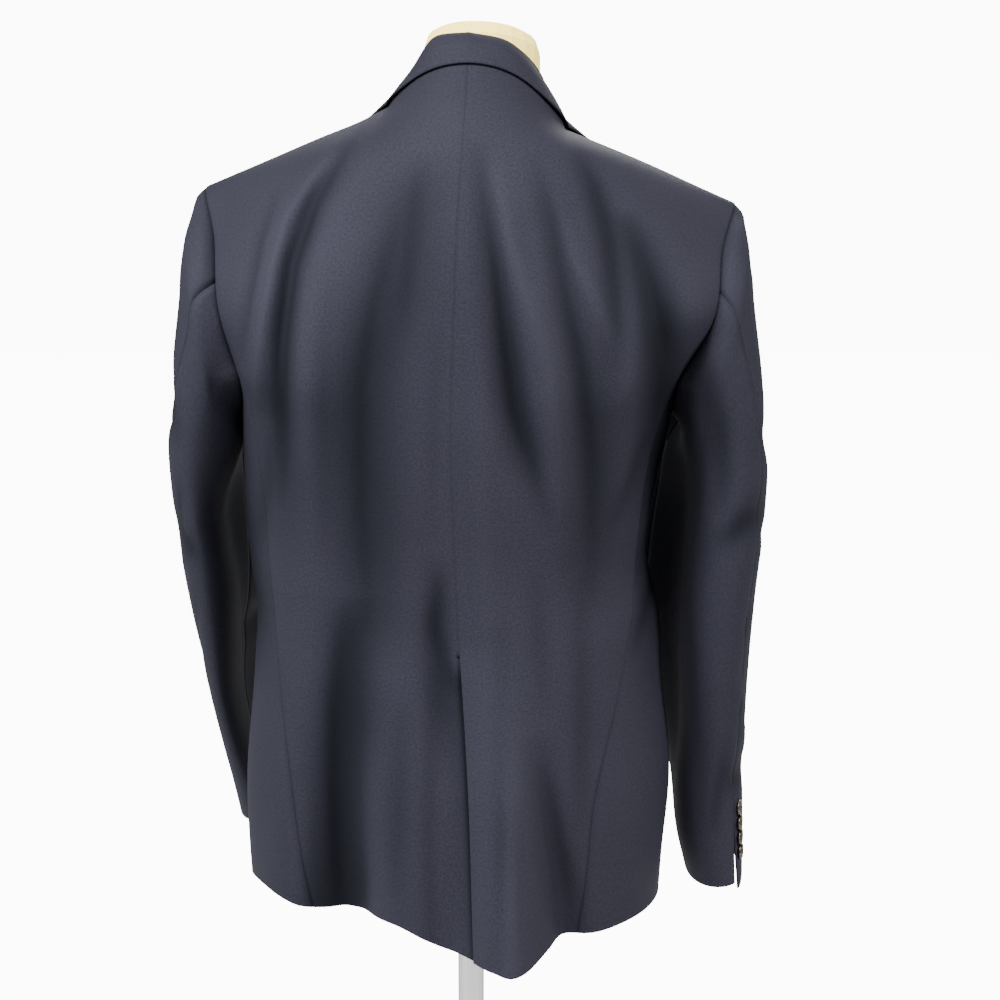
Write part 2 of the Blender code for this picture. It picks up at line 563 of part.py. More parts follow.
# ---------------------------------------------------------------- sleeves
def armhole_loop(side):
    """The armhole from the shoulder tip down the back, under the arm and up the front."""
    ups = np.array([LOWER_UPS[-1]] + UPPER_UPS)
    back = back_surface(side, np.ones_like(ups), ups)[::-1]
    under = side_surface(side, np.array(SIDE_COLUMNS), np.ones(len(SIDE_COLUMNS)))
    front = front_surface(side, np.zeros_like(ups), ups)
    return np.concatenate([back, under[1:-1], front[:-1]])


def sleeve_grid(side, rows):
    """Points down the whole sleeve, one column for each point of the armhole."""
    loop = armhole_loop(side)
    middle = (loop.max(0) + loop.min(0)) / 2
    half = (loop.max(0) - loop.min(0)) / 2
    around = np.arctan2(-(loop[:, 1] - middle[1]) / half[1], (loop[:, 2] - middle[2]) / half[2])
    around = np.where(around < -1e-6, around + 2 * math.pi, around)
    around[0] = 0.0
    start = loop.copy()
    start[:, 0] += sign(side) * ARMHOLE_GAP
    stack, knots, last = [start], [0.0], middle
    for out_x, out_z, in_x, in_z, mid_y, depth, swing, turn in SLEEVE_SECTIONS[side]:
        outer, inner = np.array([out_x, mid_y, out_z]), np.array([in_x, mid_y, in_z])
        centre, reach = (outer + inner) / 2, (outer - inner) / 2
        angle = around - math.radians(turn)
        s, c = np.sin(angle), np.cos(angle)
        k = ((np.abs(s)**SLEEVE_SQUARE + np.abs(c)**SLEEVE_SQUARE) ** (-1.0 / SLEEVE_SQUARE))[:, None]
        section = centre + reach * c[:, None] * k - np.array([0, depth, 0]) * s[:, None] * k
        section[:, 0] -= sign(side) * swing * np.clip(-s, 0, 1) ** 1.5
        stack.append(section)
        knots.append(knots[-1] + np.linalg.norm(centre - last))
        last = centre
    knots = np.array(knots) / knots[-1]
    points = through(knots, np.stack(stack), np.asarray(rows))
    return points, np.degrees(around)


def sleeve_folded(side, points, rows, around):
    """The sleeve's points, moved in by its folds, with the normals of the result."""
    normals = tube_normals(points)
    depth = np.zeros(points.shape[:2])
    for share, angle, deep, half_share, half_angle in SLEEVE_FOLDS[side]:
        turn = (around[None] - angle + 180) % 360 - 180
        depth += deep * np.exp(-((np.asarray(rows)[:, None] - share) / half_share)**2
                               - (turn / half_angle)**2)
    points = points - normals * depth[..., None]
    return points, tube_normals(points)


def tube_normals(points):
    """Outward normals of a tube: rows are rings, and the last column meets the first."""
    around = np.roll(points, -1, 1) - np.roll(points, 1, 1)
    down = np.gradient(points, axis=0, edge_order=2)
    normals = unit(np.cross(around, down))
    radial = points - points.mean(1, keepdims=True)
    facing = np.sign((normals * radial).sum(-1).mean())
    return normals * facing


def sleeve_pieces(side):
    """Top and under sleeve as grids of outer points and normals."""
    points, around = sleeve_grid(side, SLEEVE_ROWS)
    points, normals = sleeve_folded(side, points, SLEEVE_ROWS, around)
    first = normals[0].copy()
    first[:, 0] = np.minimum(first[:, 0] * sign(side), 0) * sign(side)
    normals[0] = unit(first)
    back = int(np.argmin(np.abs(around - SLEEVE_SEAM_ANGLES[0])))
    front = int(np.argmin(np.abs(around - 360 - SLEEVE_SEAM_ANGLES[1])))
    count = len(around)
    spans = {"top_sleeve_": [i % count for i in range(front, back + count + 1)],
             "under_sleeve_": list(range(back, front + 1))}
    open_cuff = ease(np.array(SLEEVE_ROWS), 0.90, 1.0) * CUFF_OPENING
    pieces = {}
    for name, span in spans.items():
        grid, outward = points[:, span], normals[:, span]
        half = SEAM_GAP / 2
        at_start = half + (open_cuff if name == "under_sleeve_" else 0)
        at_end = half + (open_cuff if name == "top_sleeve_" else 0)
        grid = grid.copy()
        grid[:, 0] += unit(grid[:, 1] - grid[:, 0]) * np.reshape(at_start * np.ones(len(grid)), (-1, 1))
        grid[:, -1] += unit(grid[:, -2] - grid[:, -1]) * np.reshape(at_end * np.ones(len(grid)), (-1, 1))
        pieces[name + side] = (grid, outward)
    return pieces


# ---------------------------------------------------------------- collar, lapels and flaps
def on_panel(surface, side, u, up, lift):
    """Points a set distance outside a panel."""
    return surface(side, u, up) + normals_of(surface, side, u, up) * np.reshape(lift, (-1, 1))


def collar_side(side, along):
    """Points across the collar at places from the centre back (0) to the gorge (2)."""
    behind = table(COLLAR_BACK[side], ("along", "x", "y", "z", "drop"))
    before = table(COLLAR_FRONT, ("along", "up", "spread"))
    places = [row["along"] for row in behind + before]
    reach = [row["drop"] for row in behind] + [row["spread"] for row in before]
    ups = [TOP_UP] * len(behind) + [row["up"] for row in before]
    reach, ups = through(places, reach, along), through(places, ups, along)
    lift = ON_PANEL + WALL + COLLAR_LIFT * (1 + 5 * ease(along, 0.3, 0.8))

    share = np.clip(along, 0, 1)
    outward = normals_of(back_surface, side, share * NECK_SHARE, np.full_like(share, TOP_UP))
    seam = neckline(side, share) - outward * WALL + np.array([0, 0, SEAM_GAP + 0.0008])
    seam[:, 2] += 0.0012 * ease(along, 0.5, 1.0)
    edge = on_panel(back_surface, side, share * NECK_SHARE, TOP_UP - np.where(along > 1, 0.01, reach), lift)
    roll = through([row["along"] for row in behind], [[row["x"], row["y"], row["z"]] for row in behind], share)
    rise = unit(roll - (seam + edge) / 2)
    out = edge - seam
    out = unit(out - rise * (out * rise).sum(-1, keepdims=True))
    stand_top = roll - rise * 0.0036 - out * 0.0022
    fall_top = roll - rise * 0.0030 + out * 0.0032
    belly = (roll + edge) / 2 + rise * 0.0010 + out * (0.0050 + 0.0008 * ease(share, 0.4, 1.0))[:, None]
    back = [seam, (seam + stand_top) / 2, stand_top, roll, fall_top, belly, edge]

    one = np.ones_like(ups)
    crease = front_surface(side, one, ups)
    inner = front_surface(side, 0.9 * one, ups)
    width = np.linalg.norm(crease - inner, axis=-1) / 0.1
    off, up = unit(crease - inner), normals_of(front_surface, side, one, ups)
    edge = on_panel(front_surface, side, 1 - np.where(along > 1, reach, 0.03) / width, ups, lift)
    fall_top = crease - off * 0.0010 + up * 0.0056
    front = [crease + off * 0.0034 - up * 0.0050, crease + off * 0.0040 - up * 0.0020,
             crease + off * 0.0042 + up * 0.0010, crease + off * 0.0026 + up * 0.0046,
             fall_top, (fall_top + edge) / 2 + up * 0.0015, edge]
    share = ease(along, 1.0, 1.3)[:, None]
    return np.stack([b * (1 - share) + f * share for b, f in zip(back, front)])


def collar_grid(along, across):
    """The collar's outer points: rows across the fold, columns from the left gorge to the right."""
    along = np.asarray(along)
    left, right = collar_side("left", along), collar_side("right", along)
    stack = np.concatenate([left[:, ::-1], right[:, 1:]], 1)
    return through([0.0, 0.22, 0.42, 0.50, 0.60, 0.80, 1.0], stack, across)


def collar_piece():
    outer = collar_grid(COLLAR_PLACES, [0.0, 0.21, 0.40, 0.455, 0.50, 0.55, 0.62, 0.80, 1.0])
    along = np.gradient(outer, axis=1, edge_order=2)
    across = np.gradient(outer, axis=0, edge_order=2)
    normals = unit(np.cross(across, along))
    middle = outer.shape[1] // 2
    if normals[-1, middle, 1] > 0:
        normals = -normals
    return outer, normals


def lapel_grid(side, rows, columns):
    """A lapel on its front: rows up the crease, columns from the crease to the outer edge."""
    widths = np.array(LAPEL_WIDTHS)
    ups = LAPEL_FOOT[side] + (LAPEL_TOP - LAPEL_FOOT[side]) * np.asarray(rows)
    wide = through(widths[:, 0], widths[:, 1], ups)
    if side == "right":
        wide = wide * ease(ups, LAPEL_FOOT["right"] - 0.010, LAPEL_FOOT["right"] + 0.060)
    share, up = np.meshgrid(np.asarray(columns), ups)
    crease = front_surface(side, np.ones_like(ups), ups)
    inner = front_surface(side, np.full_like(ups, 0.8), ups)
    reach = np.linalg.norm(crease - inner, axis=-1) / 0.2
    u = 1 - share * (np.maximum(wide, 0.002) / reach)[:, None]
    roll = np.sin(np.pi * np.clip(share / 0.5, 0, 1)) * 0.0015 + share * 0.0010
    return u, up, roll


def laid_piece(surface, side, u, up, lift):
    """A wall laid on a panel, lift away from it."""
    base = surface(side, u, up)
    normals = normals_of(surface, side, u, up)
    inner = base + normals * (ON_PANEL + lift)[..., None]
    return inner + normals * WALL, inner


def button(name, centre, axis, radius, lift=0.0005):
    """A round button standing on a surface point, with softened rims."""
    mesh = bpy.data.meshes.new(name)
    disc = bmesh.new()
    bmesh.ops.create_cone(disc, cap_ends=True, segments=16, radius1=radius, radius2=radius,
                          depth=BUTTON_THICKNESS)
    disc.to_mesh(mesh)
    disc.free()
    piece = add_piece(name, mesh, "button", roughness=0.3)
    direction = Vector(axis)
    piece.location = Vector(centre) + direction * (lift + BUTTON_THICKNESS / 2)
    piece.rotation_mode = "QUATERNION"
    piece.rotation_quaternion = direction.to_track_quat("Z", "Y")
    bevel = piece.modifiers.new("soft_rim", "BEVEL")
    bevel.width = 0.0006
    bevel.segments = 1
    bevel.limit_method = "ANGLE"
    return piece


# ---------------------------------------------------------------- the dress form
def form_ring(half_width, middle_x, back, front, z, count=24):
    angle = np.linspace(0, 2 * math.pi, count, endpoint=False)
    s, c = np.sin(angle), np.cos(angle)
    reach = (np.abs(s)**2.2 + np.abs(c)**2.2) ** (-1 / 2.2)
    depth = np.where(c > 0, -back, front) * np.abs(c)
    return np.stack([middle_x + half_width * s * reach, depth * reach, np.full(count, z)], -1)


def loft_mesh(name, rings):
    """A closed body through rings of points, with flat ends."""
    rows, count = rings.shape[:2]
    faces = []
    for i in range(rows - 1):
        for j in range(count):
            k = (j + 1) % count
            faces.append((i * count + j, i * count + k, (i + 1) * count + k, (i + 1) * count + j))
    faces.append(tuple(range(count))[::-1])
    faces.append(tuple(range((rows - 1) * count, rows * count)))
    mesh = bpy.data.meshes.new(name)
    mesh.from_pydata([tuple(p) for p in rings.reshape(-1, 3)], [], faces)
    cleaned = bmesh.new()
    cleaned.from_mesh(mesh)
    bmesh.ops.recalc_face_normals(cleaned, faces=cleaned.faces)
    cleaned.to_mesh(mesh)
    cleaned.free()
    return mesh


def form_torso():
    """The form's body, from its flat underside to the top of its neck."""
    rows = table(FORM_RINGS, ("z", "half_width", "middle_x", "back", "front"))
    sizes = np.array(FORM_RINGS)
    heights = np.concatenate([np.linspace(0.800, 1.300, 9), sizes[sizes[:, 0] > 1.305, 0]])
    read = through(sizes[:, 0], sizes[:, 1:], heights)
    rings = np.stack([form_ring(*row, z) for row, z in zip(read, heights)])
    return loft_mesh("form_torso", rings)


def form_neck_cap():
    """The slanted cap on the neck, with a rounded rim."""
    x, y = NECK_CAP["centre"]
    rings = []
    for inset_by, drop in ((0.0, None), (0.0, 0.014), (0.003, 0.005), (0.0095, 0.001), (0.018, 0.0)):
        ring_points = form_ring(NECK_CAP["radius"] - inset_by, x, 0.0475 - inset_by, 0.0535 - inset_by, 0.0)
        if drop is None:
            ring_points[:, 2] = NECK_CAP["low"]
        else:
            tilt = (ring_points[:, 1] + 0.0475) / 0.101
            lean = (ring_points[:, 0] - x) * NECK_CAP["lean"]
            slope = (NECK_CAP["front"] - NECK_CAP["back"]) * tilt
            ring_points[:, 2] = NECK_CAP["back"] + slope + lean - drop
        rings.append(ring_points)
    return loft_mesh("form_neck_cap", np.stack(rings))


def cylinder(name, radius, low, high, colour, vertices, rim):
    """A round upright piece of the stand."""
    mesh = bpy.data.meshes.new(name)
    turned = bmesh.new()
    bmesh.ops.create_cone(turned, cap_ends=True, segments=vertices, radius1=radius, radius2=radius,
                          depth=high - low)
    turned.to_mesh(mesh)
    turned.free()
    piece = add_piece(name, mesh, colour, roughness=0.35, metallic=1.0)
    piece.location = (0.0, 0.0, (low + high) / 2)
    if rim:
        bevel = piece.modifiers.new("soft_rim", "BEVEL")
        bevel.width = rim
        bevel.segments = 2
        bevel.limit_method = "ANGLE"
    return piece


# ---------------------------------------------------------------- the object
PARTS = bpy.data.collections.new("blazer_on_dress_form")
bpy.context.scene.collection.children.link(PARTS)


def add_wall(name, outer, inner):
    add_piece(name, wall_mesh(name, outer, inner), "wool")


for side in ("left", "right"):
    outer, normals = back_panel(side)
    add_wall("back_" + side, outer, outer - normals * WALL)
    outer, normals = body_panel(side_surface, side, SIDE_COLUMNS, SIDE_UPS)
    add_wall("side_" + side, outer, outer - normals * WALL)
    outer, normals = body_panel(front_surface, side, FRONT_COLUMNS, LOWER_UPS + UPPER_UPS)
    add_wall("front_" + side, outer, outer - normals * WALL)
    for name, (outer, normals) in sleeve_pieces(side).items():
        add_wall(name, outer, outer - normals * WALL)
        if name.startswith("top"):
            cuff = (outer, normals)
    grid, normals = cuff
    seam_line, beside, facing = grid[:, -1], grid[:, -2], normals[:, -1] + normals[:, -2]
    heights = seam_line[:, 2]
    for number in range(4):
        wanted = heights[-1] + 0.030 + number * BUTTON_PITCH
        place = [np.interp(wanted, heights[::-1], seam_line[::-1, i]) for i in range(3)]
        inward = [np.interp(wanted, heights[::-1], beside[::-1, i]) for i in range(3)]
        axis = unit(np.array([np.interp(wanted, heights[::-1], facing[::-1, i]) for i in range(3)]))
        centre = np.array(place) + unit(np.array(inward) - np.array(place)) * 0.0095
        button("cuff_button_%s_%d" % (side, number + 1), centre, axis, CUFF_BUTTON_RADIUS, 0.0008)

    u, up, roll = lapel_grid(side, np.linspace(0, 1, 13), np.linspace(0, 1, 6))
    add_wall("lapel_" + side, *laid_piece(front_surface, side, u, up, roll))
    u, up = np.meshgrid(np.linspace(FLAP["from_share"], FLAP["to_share"], 8),
                        np.linspace(FLAP["low"], FLAP["high"], 4))
    add_wall("pocket_flap_" + side, *laid_piece(front_surface, side, u, up, np.zeros_like(u)))

outer, normals = collar_piece()
add_wall("collar", outer, outer - normals * WALL)

for number, up in enumerate((0.352, 0.242)):
    u = np.linspace(0.6, 1.0, 81)
    row = front_surface("left", u, np.full_like(u, up))
    share = np.array([np.interp(0.0, row[:, 0], u)])
    centre = front_surface("left", share, np.array([up]))[0]
    axis = normals_of(front_surface, "left", share, np.array([up]))[0]
    button("front_button_%d" % (number + 1), centre, axis, FRONT_BUTTON_RADIUS)

add_piece("form_torso", form_torso(), "linen")
add_piece("form_neck_cap", form_neck_cap(), "linen")
cylinder("form_pole", POLE_RADIUS, BASE_THICKNESS + SEAM_GAP, FORM_RINGS[0][0] - SEAM_GAP, "steel", 20, 0)
cylinder("form_base", BASE_RADIUS, 0.0, BASE_THICKNESS, "steel", 48, 0.004)
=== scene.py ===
"""A wool blazer on a limbless dress form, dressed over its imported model, in metres."""

import math

import bmesh
import bpy
import numpy as np
from mathutils import Matrix, Vector


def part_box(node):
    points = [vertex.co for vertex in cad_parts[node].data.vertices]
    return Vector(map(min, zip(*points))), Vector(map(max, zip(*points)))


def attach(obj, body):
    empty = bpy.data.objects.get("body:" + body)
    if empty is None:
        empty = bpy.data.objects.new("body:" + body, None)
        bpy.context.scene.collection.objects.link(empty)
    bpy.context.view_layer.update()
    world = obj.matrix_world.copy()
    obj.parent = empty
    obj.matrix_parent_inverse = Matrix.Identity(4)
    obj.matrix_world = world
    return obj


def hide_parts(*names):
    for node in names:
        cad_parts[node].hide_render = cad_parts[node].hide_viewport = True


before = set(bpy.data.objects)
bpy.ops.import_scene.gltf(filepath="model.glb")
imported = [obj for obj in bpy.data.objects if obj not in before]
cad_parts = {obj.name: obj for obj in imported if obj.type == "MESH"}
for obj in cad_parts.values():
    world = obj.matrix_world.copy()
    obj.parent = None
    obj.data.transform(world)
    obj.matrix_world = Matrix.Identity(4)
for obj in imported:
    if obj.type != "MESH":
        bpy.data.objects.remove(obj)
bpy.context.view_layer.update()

# ================================================================ the studio
# A pale floor under an even white sky, three soft lamps beside and above the camera, a wide one
# in front of the wearer, and the camera where the picture was taken.
CAMERA_PLACE = (0.028, -1.629, 1.363)
CAMERA_PITCH = math.radians(9.70)            # how far it looks down
CAMERA_LENS, CAMERA_SENSOR = 64.296, 36.0    # in millimetres
WHITE = (1.0, 1.0, 1.0, 1.0)
SEEN_WHITE = 11.0                            # strength of the white that only the camera sees
AIR_TINT, AIR_LIGHT = (0.93, 0.96, 1.0, 1.0), 0.45
FLOOR_REACH, FLOOR_GREY = 14.0, (0.55, 0.55, 0.55, 1.0)
LAMP_AIM = (0.0, 0.0, 1.2)
LAMPS = (
    # name, place, size, power, colour
    ("ceiling", (-0.9, -1.9, 3.5), 1.0, 265.0, (1.0, 0.975, 0.96)),
    ("window", (-2.5, -1.7, 2.3), 0.9, 165.0, (0.97, 0.975, 1.0)),
    ("room", (2.6, -1.3, 2.3), 0.9, 150.0, (1.0, 0.97, 0.96)),
    ("front", (0.4, 2.8, 3.0), 2.0, 95.0, (1.0, 1.0, 1.0)),
)


class Wire:
    """A socket of a node tree. Operators on it add Math nodes."""

    def __init__(self, tree, socket):
        self.tree, self.socket = tree, socket

    def node(self, kind, settings=None, values=None, output=0):
        """Adds a node: its settings first, then the values or wires of its sockets."""
        made = self.tree.nodes.new(kind)
        for name, value in (settings or {}).items():
            if name == "stops":
                ramp = made.color_ramp.elements
                while len(ramp) < len(value):
                    ramp.new(0.5)
                for stop, (place, colour) in zip(ramp, value):
                    stop.position, stop.color = place, (*colour, 1.0)
            else:
                setattr(made, name, value)
        for name, value in (values or {}).items():
            if isinstance(value, Wire):
                self.tree.links.new(value.socket, made.inputs[name])
            else:
                made.inputs[name].default_value = value
        return Wire(self.tree, made.outputs[output])

    def maths(self, operation, *others):
        return self.node("ShaderNodeMath", {"operation": operation},
                         {number: value for number, value in enumerate((self, *others))})

    def __add__(self, other):
        return self.maths("ADD", other)

    def __sub__(self, other):
        return self.maths("SUBTRACT", other)

    def __rsub__(self, other):
        return self.node("ShaderNodeMath", {"operation": "SUBTRACT"}, {0: other, 1: self})

    def __mul__(self, other):
        return self.maths("MULTIPLY", other)

    __radd__, __rmul__ = __add__, __mul__

    def mixed(self, first, second):
        """Colour from first to second, by this share."""
        return self.node("ShaderNodeMix", {"data_type": "RGBA"}, {0: self, 6: first, 7: second}, 2)

    def spread(self, low, high, new_low=0.0, new_high=1.0):
        """This value moved from one range to another and kept inside it."""
        return self.node("ShaderNodeMapRange", {"clamp": True},
                         {0: self, 1: low, 2: high, 3: new_low, 4: new_high})

    def parts(self):
        """The three numbers of a place."""
        first = self.node("ShaderNodeSeparateXYZ", {}, {0: self})
        return [Wire(self.tree, socket) for socket in first.socket.node.outputs]


def new_material(name, roughness, **fixed):
    """A Principled material, with what is the same all over it on its sockets, and the wire that
    leaves its shader."""
    made = bpy.data.materials.new(name)
    made.use_nodes = True
    shader = made.node_tree.nodes["Principled BSDF"]
    for label, value in {"Roughness": roughness, **fixed}.items():
        shader.inputs[label.replace("_", " ")].default_value = value
    return made, Wire(made.node_tree, shader.outputs[0])


def in_scene(name, data):
    """A new object in the scene, at the origin."""
    made = bpy.data.objects.new(name, data)
    bpy.context.collection.objects.link(made)
    return made


floor_mesh = bpy.data.meshes.new("floor")
floor_mesh.from_pydata([(-FLOOR_REACH, -FLOOR_REACH, 0), (FLOOR_REACH, -FLOOR_REACH, 0),
                        (FLOOR_REACH, FLOOR_REACH, 0), (-FLOOR_REACH, FLOOR_REACH, 0)],
                       [], [(0, 1, 2, 3)])
floor = in_scene("floor", floor_mesh)
floor_paint, start = new_material("floor_paint", 0.9, Base_Color=FLOOR_GREY)
seen = start.node("ShaderNodeLightPath")
glow = start.node("ShaderNodeEmission", {}, {"Color": WHITE, "Strength": SEEN_WHITE})
lit = start.node("ShaderNodeAddShader", {}, {0: start, 1: glow})
start.tree.links.new(start.node("ShaderNodeMixShader", {}, {0: seen, 1: start, 2: lit}).socket,
                     start.tree.nodes["Material Output"].inputs["Surface"])
floor_mesh.materials.append(floor_paint)

world = bpy.data.worlds.new("studio")
world.use_nodes = True
air = Wire(world.node_tree, world.node_tree.nodes["Background"].outputs[0])
seen = air.node("ShaderNodeLightPath")
dim = air.node("ShaderNodeBackground", {}, {"Color": AIR_TINT, "Strength": AIR_LIGHT})
white = air.node("ShaderNodeBackground", {}, {"Color": WHITE, "Strength": SEEN_WHITE})
air.tree.links.new(air.node("ShaderNodeMixShader", {}, {0: seen, 1: dim, 2: white}).socket,
                   air.tree.nodes["World Output"].inputs["Surface"])
bpy.context.scene.world = world

for name, place, size, power, colour in LAMPS:
    light = bpy.data.lights.new(name, "AREA")
    light.size, light.energy, light.color = size, power, colour
    lamp = in_scene(name, light)
    lamp.location = place
    lamp.rotation_euler = (Vector(LAMP_AIM) - Vector(place)).to_track_quat("-Z", "Y").to_euler()

camera_data = bpy.data.cameras.new("camera")
camera_data.lens, camera_data.sensor_width = CAMERA_LENS, CAMERA_SENSOR
camera = in_scene("camera", camera_data)
camera.location = CAMERA_PLACE
camera.rotation_euler = (math.pi / 2 - CAMERA_PITCH, 0, 0)
bpy.context.scene.camera = camera

# ================================================================ back, sides and fronts
# Six panels of worsted wool twill over canvas, sewn edge to edge and lined with satin. They
# hang from the form's shoulders, so the back drags in long soft folds and the skirt flares.
CLOTH = 0.0016               # thickness of wool and lining together
ARMHOLE_LAP = 0.0006         # how far a sleeve's head is sewn in under the body's edge
VENT_ROW = 0.260             # the centre vent's length, up the cloth from the hem
VENT_LAP = 0.030             # how far the right back laps over the left
UNDER_PUSH = 0.0034          # how far the under layer is pushed in, at the vent and at the fronts
NECK_SHARE = 0.36            # the part of a back's top row that is the neckline
FRONT_SEAM_ANGLE = 128.0     # side seam of the fronts, in degrees round from the centre back
HEM_FADE = -0.03             # the hem's own line fades out from here up to the third ring
OPEN_BELOW = 0.73            # a fold whose lowest station is below this height runs out at the hem
FOLD_FADE = 0.035            # folds fade in over this depth, from the middle of the sides
ROW_BOW, ROW_RISE = 1.05, 0.35   # how far rows above the armpit bow out, and how soon they rise
NAPE_CURVE = 1.5             # how much the back neckline curves on its way up to the nape
SIDE_DIP, SIDE_DIP_CURVE = 0.040, 1.2    # how deep the sides' upper edge dips under the arm
LAP_X, LAP_Z = (0.048, 0.028), (1.20, 1.165)     # start and full depth of the right front's lap
BODY_MIDDLE, BODY_HALF = -0.01, (0.19, 0.14)     # rough middle, half width and half depth

# Closed rings of the body. "up" is the distance above the hem along the cloth, "edge" is the
# front edge or crease on the front's own side, "right_seam" and "left_seam" part back and side.
LEVELS = (
    # up,   z,     centre, left,    right,  back,    front, square, right_seam, left_seam, edge
    (0.000, 0.710, 0.004, -0.2085, 0.1795, -0.150, 0.130, 2.1, 0.100, -0.150, 0.050),
    (0.040, 0.750, 0.003, -0.2100, 0.1820, -0.149, 0.128, 2.1, 0.104, -0.153, 0.016),
    (0.120, 0.830, 0.001, -0.2105, 0.1880, -0.146, 0.124, 2.1, 0.111, -0.158, -0.010),
    (0.220, 0.930, -0.004, -0.2010, 0.1785, -0.139, 0.119, 2.2, 0.134, -0.168, -0.018),
    (0.280, 0.990, -0.008, -0.1972, 0.1745, -0.135, 0.117, 2.3, 0.146, -0.172, -0.019),
    (0.330, 1.040, -0.010, -0.2020, 0.1632, -0.136, 0.118, 2.4, 0.149, -0.176, -0.020),
    (0.400, 1.110, -0.012, -0.2058, 0.1730, -0.146, 0.125, 2.5, 0.158, -0.181, -0.0085),
    (0.460, 1.170, -0.013, -0.2035, 0.1860, -0.153, 0.131, 2.9, 0.176, -0.187, 0.011),
    (0.497, 1.205, -0.012, -0.2030, 0.1905, -0.1545, 0.132, 3.8, 0.188, -0.198, 0.023),
)
LEVEL_COLUMNS = ("up", "z", "centre", "left", "right", "back", "front", "square",
                 "right_seam", "left_seam", "edge")

# Height of the hem round the body: angle from the centre back (wearer's right positive), z.
HEM_LINE = (
    (-180, 0.703), (-130, 0.712), (-90, 0.728), (-66, 0.7365), (-46, 0.7265), (-35, 0.7265),
    (-18, 0.7265), (-8, 0.712), (0, 0.704), (8, 0.6975), (21, 0.7085), (27, 0.7125), (37, 0.7125),
    (58, 0.7135), (80, 0.713), (100, 0.707), (130, 0.704), (180, 0.703),
)

# Rows above the armpit: centre point and armhole point of each back, then how far it turns.
BACK_ROWS = (
    # up,   centre x, y, z,             right x, y, z,            left x, y, z,              turn
    (0.552, -0.010, -0.1560, 1.262, 0.2110, -0.0940, 1.256, -0.2130, -0.0920, 1.262, 50),
    (0.630, -0.007, -0.1470, 1.338, 0.2210, -0.0640, 1.316, -0.2205, -0.0620, 1.327, 40),
    (0.705, -0.002, -0.1150, 1.418, 0.2340, -0.0250, 1.347, -0.2320, -0.0250, 1.361, 20),
)
# Rows of the fronts: armhole point, crease distance from the centre line, y and z, turn.
FRONT_ROWS = (
    # up,   right x, y, z,           left x, y, z,            crease x, y, z,         turn
    (0.552, 0.1960, 0.0860, 1.252, -0.2020, 0.0870, 1.258, 0.041, 0.1330, 1.262, 105),
    (0.630, 0.2120, 0.0640, 1.310, -0.2130, 0.0640, 1.321, 0.062, 0.1180, 1.335, 120),
    (0.705, 0.2330, 0.0270, 1.346, -0.2310, 0.0270, 1.360, 0.079, 0.0660, 1.398, 150),
)
TOP_UP = 0.775
BEYOND_TOP = 0.825           # a guide row past the shoulder seam, which sets the slope there
# How the guide row lies from the seam: at the nape, along the back's shoulder, along the front's.
PAST_NAPE, PAST_SHOULDER, GUIDE = (0.0, 0.45, 0.90), (0.0, 0.98, -0.06), 0.05
PAST_FRONT = (0.0, -0.049, -0.003)
NAPE = (0.001, -0.076, 1.478)
# Shoulder lines from the neck point to the shoulder tip: x, z (y is 0 all along).
SHOULDERS = {
    "right": ((0.0860, 1.4210), (0.1157, 1.4090), (0.1590, 1.3912), (0.2040, 1.3712),
              (0.2390, 1.3560)),
    "left": ((-0.0680, 1.4425), (-0.0930, 1.4295), (-0.1310, 1.4142), (-0.1850, 1.3915),
             (-0.2345, 1.3710)),
}

